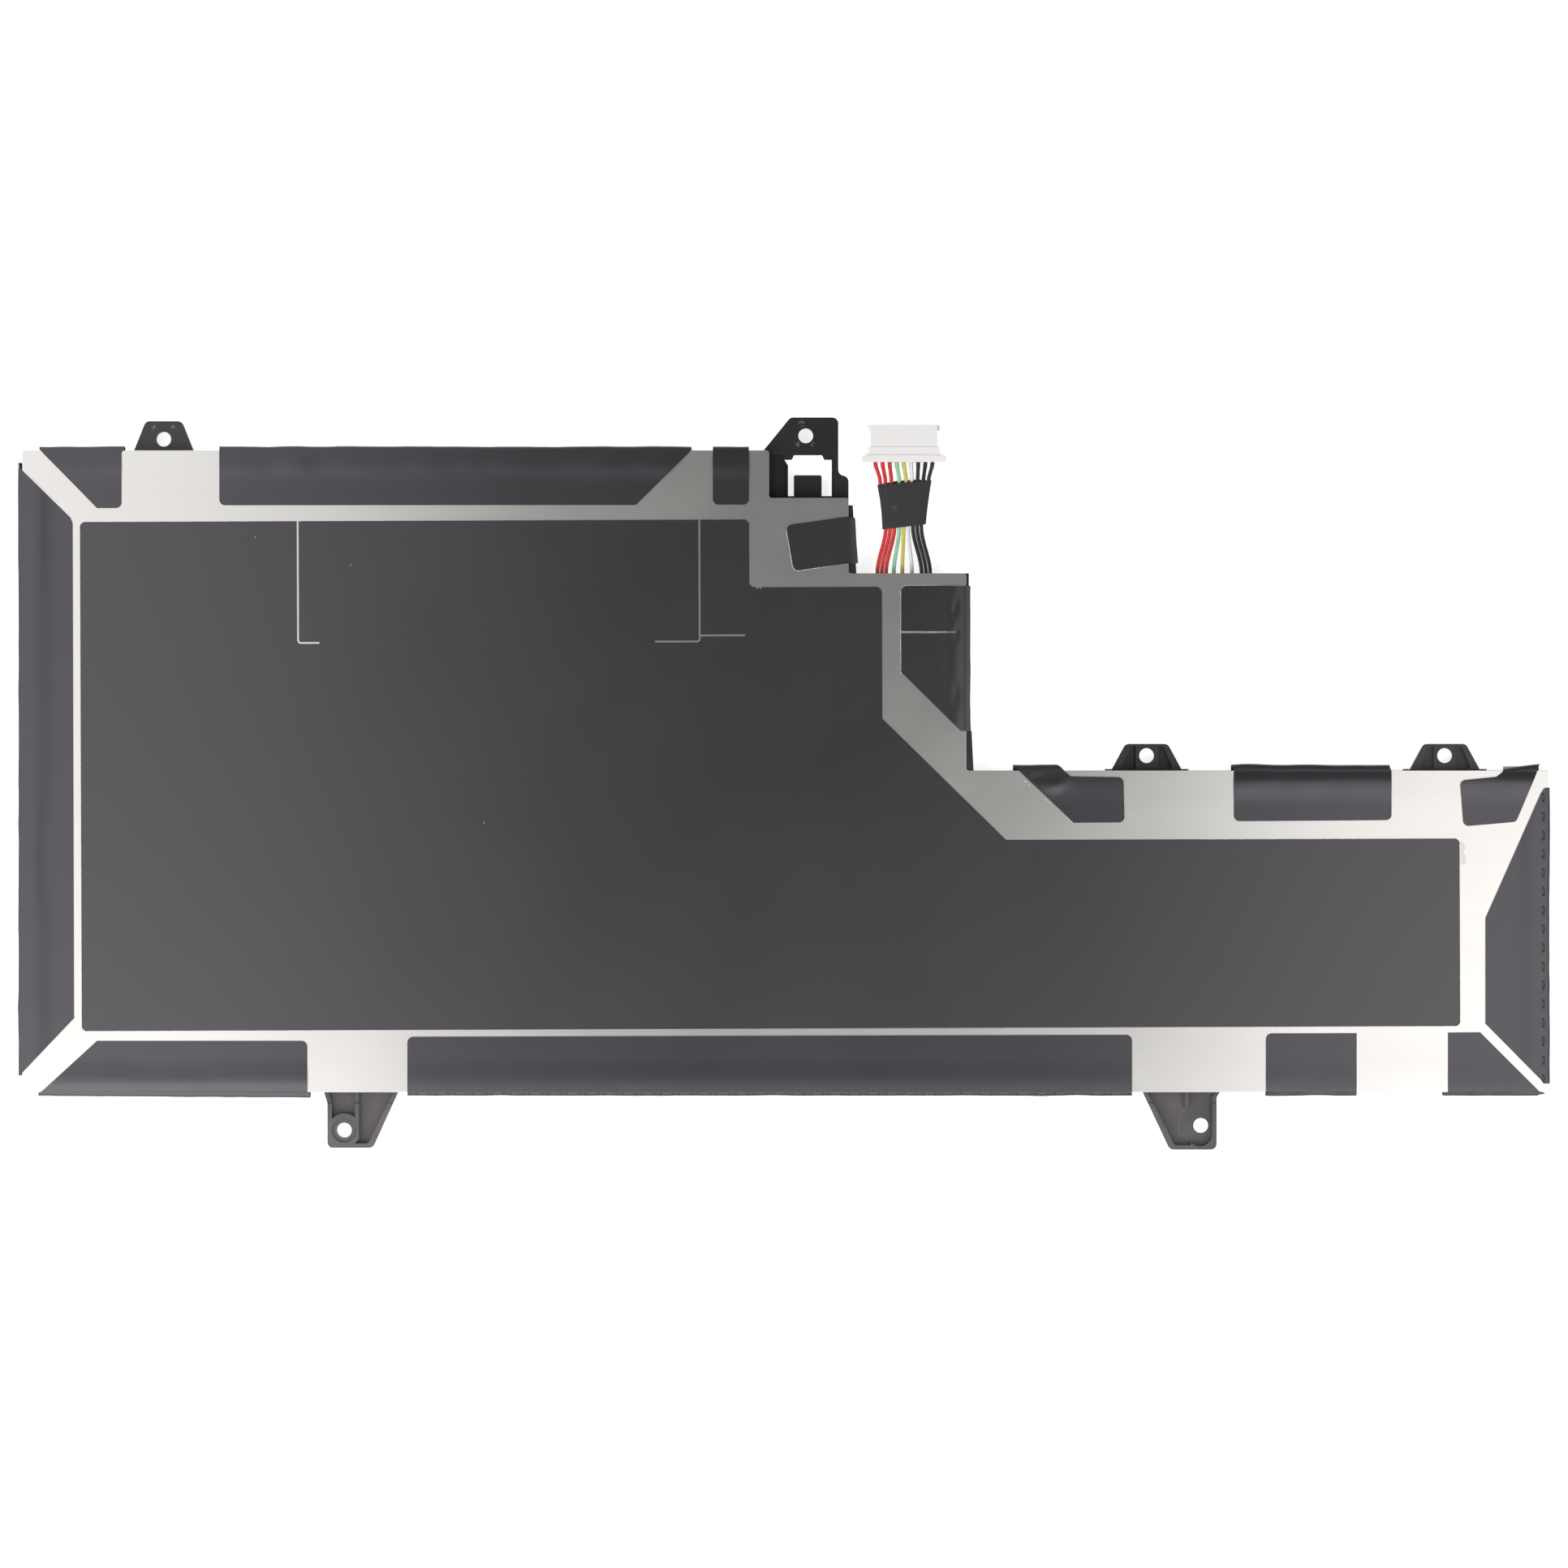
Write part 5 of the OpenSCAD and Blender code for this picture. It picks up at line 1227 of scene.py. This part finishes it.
def addCoverFilm(c):
    path, toothRun = coverPath(c)
    points, tooth, inward = [], [], []
    for a, b, toothed in zip(path, path[1:] + path[:1], toothRun):
        count = max(1, round((b - a).length / c["toothPitch"]) * 2) if toothed else 1
        side = (b - a).normalized()
        for k in range(count):
            points.append(a.lerp(b, k / count))
            tooth.append(float(k % 2))
            inward += (-side.y, side.x, 0)
    turn = Matrix.Rotation(c["turn"], 3, "Z")
    places = [turn @ p.to_3d() * mm for p in points]
    data = bpy.data.meshes.new("coverFilm")
    data.from_pydata(places, [(i, (i + 1) % len(places)) for i in range(len(places))], [])
    setPointValues(data, "tooth", tooth)
    data.attributes.new("inward", "FLOAT_VECTOR", "POINT").data.foreach_set("vector", inward)
    piece = addObject("coverFilm", data)
    runTree(piece, coverEdgeTree, {
        "Tooth Depth": c["toothDepth"] * mm, "Least Tooth": c["leastTooth"], "Seed": c["seed"],
        "Thickness": c["thickness"] * mm, "Height": pack["plateTop"] * mm,
        "Merge Within": c["mergeWithin"] * mm, "Material": materials["plateFilm"]})
    finishPiece(piece, "plate_film", "plate_film")


addCoverFilm(coverFilm)
print("plate film laid")

# Pale beads that show as a thin, broken bright line along some cut edges of the film: partly real
# adhesive, and partly a painted highlight where the cut edges catch the light
adhesiveGlint = {
    "radius": 0.085,
    "sunk": 0.5,  # height of its middle over the plate, as a share of the radius
    "standOut": 0.08,  # past the edge of the film
    "nearest": 0.7,  # it comes no nearer the plate's edge than this
    "step": 0.3,
    "stretch": 4.0,
    "leastSize": 0.4,  # of a bead, as a share of the largest
    "roundness": 2,
    "seeds": (5, 6),  # for which beads are kept, and for their sizes
    # flap, first and last corner of the run on its rounded outline, and share of it that shows
    "runs": [
        ("bayFlap", 2, 4, 0.8), ("bayFlap", 3, 7, 1.0), ("bayFlap", 6, 15, 0.8),
        ("sideTape", 1, 10, 0.9),
        ("armCornerFlap", 2, 4, 0.25), ("armMidFlap", 4, 11, 0.2)],
}


# Small stretched beads along the line, with gaps where it isn't kept
def adhesiveGlintTree(inputs):
    tree, given, made = newTree("adhesiveGlintLine", inputs)
    line = addNode(tree, "GeometryNodeMeshToCurve", {"Mesh": given["Geometry"]})
    spots = addNode(tree, "GeometryNodeCurveToPoints",
                    {"Curve": line.outputs[0], "Length": given["Step"]}, mode="LENGTH")
    bead = addNode(tree, "GeometryNodeMeshIcoSphere",
                   {"Radius": given["Radius"], "Subdivisions": given["Roundness"]})
    size = randomValue(tree, given["Least Size"], 1.0, given["Size Seed"])
    placed = addNode(tree, "GeometryNodeInstanceOnPoints", {
        "Points": spots.outputs["Points"], "Instance": bead.outputs["Mesh"],
        "Selection": addMath(tree, "LESS_THAN", randomValue(tree, 0.0, 1.0, given["Seed"]),
                             readAttribute(tree, "kept")),
        "Rotation": spots.outputs["Rotation"],
        "Scale": combine(tree, X=size, Y=size,
                         Z=addMath(tree, "MULTIPLY", size, given["Stretch"]))})
    feed(tree, made[0], dressReal(tree, placed.outputs[0], given["Material"]))
    return tree


# Where the adhesive runs past part of a flap's cut outline
def adhesiveGlintPath(a, flap, first, last):
    fold, e = foldSection(flap, pack["filmUnder"]), edgeOf(flap)
    outline = roundedOutline(flap["outline"], fold)
    middle = sum(outline, Vector((0, 0))) / len(outline)
    height = pack["plateTop"] + a["radius"] * a["sunk"]
    path = []
    for p in outline[first:last]:
        p = p + (p - middle).normalized() * a["standOut"]
        inPlace = e["at"] + e["inward"] * max(p.y - fold["top"] + fold["lean"], a["nearest"])
        x, y = (p.x, inPlace) if e["axis"] == "x" else (inPlace, p.x)
        path.append(Vector((x, y, height)) * mm)
    return path


def addAdhesiveGlint(a):
    points, edges, kept = [], [], []
    sheets = {**flaps, **sideTapeOutline}
    for name, first, last, share in a["runs"]:
        start = len(points)
        points += adhesiveGlintPath(a, sheets[name], first, last)
        kept += [share] * (len(points) - start)
        edges += [(i, i + 1) for i in range(start, len(points) - 1)]
    data = bpy.data.meshes.new("adhesiveGlintLine")
    data.from_pydata(points, edges, [])
    setPointValues(data, "kept", kept)
    piece = addObject("adhesiveGlintLine", data)
    runTree(piece, adhesiveGlintTree, {
        "Step": a["step"] * mm, "Radius": a["radius"] * mm, "Stretch": a["stretch"],
        "Least Size": a["leastSize"], "Roundness": a["roundness"], "Seed": a["seeds"][0],
        "Size Seed": a["seeds"][1], "Material": materials["adhesiveGlint"]})
    for face in piece.data.polygons:
        face.use_smooth = True
    finishPiece(piece, "wrap_film")


addAdhesiveGlint(adhesiveGlint)
print("adhesive laid")

# Small marks that the pack carries: torn residue, lint, a speck and the line in a moulded floor
smallMarks = {
    "residueOutline": [(118.4, -10.0), (119.4, -11.1), (118.8, -12.1), (119.3, -12.9),
                       (119.2, -14.2), (118.4, -14.0)],
    "residueThickness": 0.03,
    "steps": 5,  # between two points of a thread
    "sides": 8,
    # name, material, slot, radius and path of each thread
    "threads": [
        ("pinkLint", "lint", "plate_film", 0.045,
         [(-4.75, 34.0, 5.0), (-4.6, 34.3, 5.04), (-4.3, 34.42, 5.06), (-4.05, 34.25, 5.04),
          (-3.95, 33.95, 5.0)]),
        ("paleLint", "lint", "plate_film", 0.035,
         [(-75.9, 38.1, 5.0), (-75.75, 38.3, 5.04), (-75.5, 38.4, 5.02)]),
        ("darkSpeckAndShade", "darkSpeckAndShade", "plate_film", 0.09,
         [(-3.0, 33.28, 5.0), (-2.9, 33.3, 5.03), (-2.8, 33.33, 5.0)]),
        ("knitLine", "knitLine", "moulded_frame", 0.06,
         [(70.5, -54.6, 1.11), (70.4, -56.6, 1.11), (69.6, -57.6, 1.11), (69.2, -58.6, 1.11),
          (69.0, -60.6, 1.11), (69.3, -61.8, 1.11), (69.9, -62.6, 1.11), (70.6, -63.5, 1.11)]),
    ],
}


# Smooth curve through the middle two of four points
def throughPoints(around, t):
    a, b, c, d = around
    return 0.5 * (2 * b + (c - a) * t + (2 * a - 5 * b + 4 * c - d) * t ** 2
                  + (3 * b - a - 3 * c + d) * t ** 3)


def addSmallMarks(m):
    outline = [(x, y, pack["plateTop"] + m["residueThickness"]) for x, y in m["residueOutline"]]
    piece = meshObject("tornResidue", outline[::-1], [tuple(range(len(outline)))], False)
    piece.data.materials.append(materials["residue"])
    thicken(piece, m["residueThickness"])
    finishPiece(piece, "plate_film")
    for name, look, slot, radius, path in m["threads"]:
        curved = []
        for k in range(len(path) - 1):
            around = [Vector(path[min(max(k + j, 0), len(path) - 1)]) for j in (-1, 0, 1, 2)]
            curved += [throughPoints(around, t / m["steps"]) for t in range(m["steps"])]
        thread = meshObject(name, *tube(curved + [Vector(path[-1])], radius, m["sides"]))
        thread.data.materials.append(materials[look])
        finishPiece(thread, slot)


addSmallMarks(smallMarks)
print("small marks added")

# Copies of rigid nodes, with their sharp edges broken as a moulding's or a pressing's are
brokenEdges = {
    "angle": 28,  # degrees: sharper edges than this are broken
    "segments": 2,
    "mergeWithin": 0.002,
    "levelWithin": 1,  # degrees between faces that are joined into one
    "levelNormal": 0.5,
    # node, name, slot, material, width, and whether level faces are joined first
    "pieces": [
        ("frame", "mouldedFrame", "moulded_frame", "frame", 0.1, True),
        ("plug_housing", "plugShell", "plug_nylon", "plug", 0.09, False),
        ("steel_plate", "pressedPlate", "steel", "steel", 0.05, True)],
}


# The node's mesh with its loose triangles merged, for the bevel to work on
def mergedCopy(node, joinLevels):
    b = brokenEdges
    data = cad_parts[node].data.copy()
    if "custom_normal" in data.attributes:
        data.attributes.remove(data.attributes["custom_normal"])
    work = bmesh.new()
    work.from_mesh(data)
    bmesh.ops.remove_doubles(work, verts=work.verts, dist=b["mergeWithin"] * mm)
    if joinLevels:
        bmesh.ops.dissolve_limit(work, angle_limit=math.radians(b["levelWithin"]),
                                 verts=work.verts, edges=work.edges)
    for face in work.faces:
        face.smooth = True
    work.to_mesh(data)
    work.free()
    return data


def breakEdges(node, name, slot, look, width, joinLevels):
    b = brokenEdges
    piece = addObject(name, mergedCopy(node, joinLevels))
    piece.data.materials.clear()
    for _ in range(2):  # the second one marks the bevel's faces
        piece.data.materials.append(materials[look])
    edge = piece.modifiers.new("brokenEdges", "BEVEL")
    edge.width = width * mm
    edge.segments = b["segments"]
    edge.limit_method = "ANGLE"
    edge.angle_limit = math.radians(b["angle"])
    edge.material = 1
    applyModifiers(piece)
    piece.data.set_sharp_from_angle(angle=math.radians(b["angle"]))
    band = piece.data.attributes.new("edgeBand", "FLOAT", "FACE")
    for face in piece.data.polygons:  # level faces stay flat, so that they shade evenly
        band.data[face.index].value = face.material_index
        face.use_smooth = face.material_index == 1 or abs(face.normal.z) < b["levelNormal"]
        face.material_index = 0
    piece.data.materials.pop(index=1)
    finishPiece(piece, slot, node)


for row in brokenEdges["pieces"]:
    breakEdges(*row)
print("edges broken")

# Carried-over parts get their own finish
nodeLooks = {
    "circuit_board": "board", "board_insulator": "insulator",
    "gauge_chip": "chip", "protector_chip": "chip", "charge_transistor": "chip",
    "discharge_transistor": "chip", "thermistor": "chip", "cell_fuse": "fuse",
    "shunt_resistor": "capacitor", "chip_capacitors": "capacitor", "solder_joints": "solder",
}
for i in (1, 2, 3):
    nodeLooks.update({f"cell_{i}": "pouch", f"cell_tape_{i}": "cellTape",
                      f"positive_tab_{i}": "tabAluminium", f"negative_tab_{i}": "tabNickel"})
nodeLooks.update({f"contact_{i}": "contact" for i in range(1, 10)})
for node, look in nodeLooks.items():
    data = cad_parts[node].data
    data.materials.clear()
    data.materials.append(materials[look])
for node, (piece, path, length) in wires.items():
    piece.data.materials.append(materials["wire" + node.split("_")[1].capitalize()])
print("nodes dressed:", len(nodeLooks))

# Floor, lamps and surroundings
stageSet = {
    "floorSize": 4.0,
    "floorColor": (0.86, 0.86, 0.86),
    "floorRough": 0.9,
    "floorGloss": 0.1,
    "floorGlow": 0.8,
    "worldLevel": 0.112,
    "horizon": (0.25, 0.55),  # the surroundings fade from white to dim between these heights
    "power": 4,  # watts of a square metre of lamp at brightness 1
    # soft boxes that face down, in metres: x, y, height, width, depth, brightness
    "boxes": [
        (-0.299, 0.011, 0.220, 0.453, 2.730, 1.08),
        (0.255, -0.0215, 0.221, 0.351, 0.113, 1.53),
        (-0.043, -0.217, 0.247, 1.038, 0.257, 1.72),
    ],
}


# 1 for what the camera, a reflection or glass shows, and 0 for light on the object
def seenDirectly(tree):
    path = addNode(tree, "ShaderNodeLightPath").outputs
    glossy = addMath(tree, "MAXIMUM", path["Is Camera Ray"], path["Is Glossy Ray"])
    return addMath(tree, "MAXIMUM", glossy, path["Is Transmission Ray"])


def addFloor(s):
    half = s["floorSize"] / 2 / mm
    floor = meshObject("floor", [(-half, -half, 0), (half, -half, 0), (half, half, 0),
                                 (-half, half, 0)], [(0, 1, 2, 3)], False)
    made, tree, shader = newMaterial("paleFloor")
    shader.inputs["Base Color"].default_value = solid(s["floorColor"])
    shader.inputs["Roughness"].default_value = s["floorRough"]
    shader.inputs["Specular IOR Level"].default_value = s["floorGloss"]
    bright = addNode(tree, "ShaderNodeEmission", {"Color": (1, 1, 1, 1), "Strength": s["floorGlow"]})
    both = addNode(tree, "ShaderNodeAddShader", {0: shader.outputs[0], 1: bright.outputs[0]})
    mix = addNode(tree, "ShaderNodeMixShader",
                  {0: seenDirectly(tree), 1: shader.outputs[0], 2: both.outputs[0]})
    end = next(n for n in tree.nodes if n.type == "OUTPUT_MATERIAL")
    tree.links.new(mix.outputs[0], end.inputs[0])
    floor.data.materials.append(made)


def addWorld(s):
    world = bpy.data.worlds.new("surroundings")
    world.use_nodes = True
    scene.world = world
    tree = world.node_tree
    back = next(n for n in tree.nodes if n.type == "BACKGROUND")
    back.inputs["Color"].default_value = (1, 1, 1, 1)
    place = tree.nodes.new("ShaderNodeTexCoord")
    split = addNode(tree, "ShaderNodeSeparateXYZ", {0: place.outputs["Generated"]})
    low = rangeOf(tree, split.outputs["Z"], 1.0, 0.0, *s["horizon"])
    white = addMath(tree, "MULTIPLY", low, seenDirectly(tree))
    feed(tree, back.inputs["Strength"], rangeOf(tree, white, s["worldLevel"], 1.0))


def addSoftBoxes(s):
    for k, (x, y, height, wide, deep, bright) in enumerate(s["boxes"]):
        lamp = bpy.data.lights.new(f"softBox{k + 1}", "AREA")
        lamp.shape = "RECTANGLE"
        lamp.size, lamp.size_y = wide, deep
        lamp.energy = bright * s["power"] * wide * deep
        box = addObject(lamp.name, lamp)
        box.location = (x, y, height)
        box.visible_camera = False


addFloor(stageSet)
addWorld(stageSet)
addSoftBoxes(stageSet)
scene.view_settings.view_transform = "Standard"
print("stage lit")
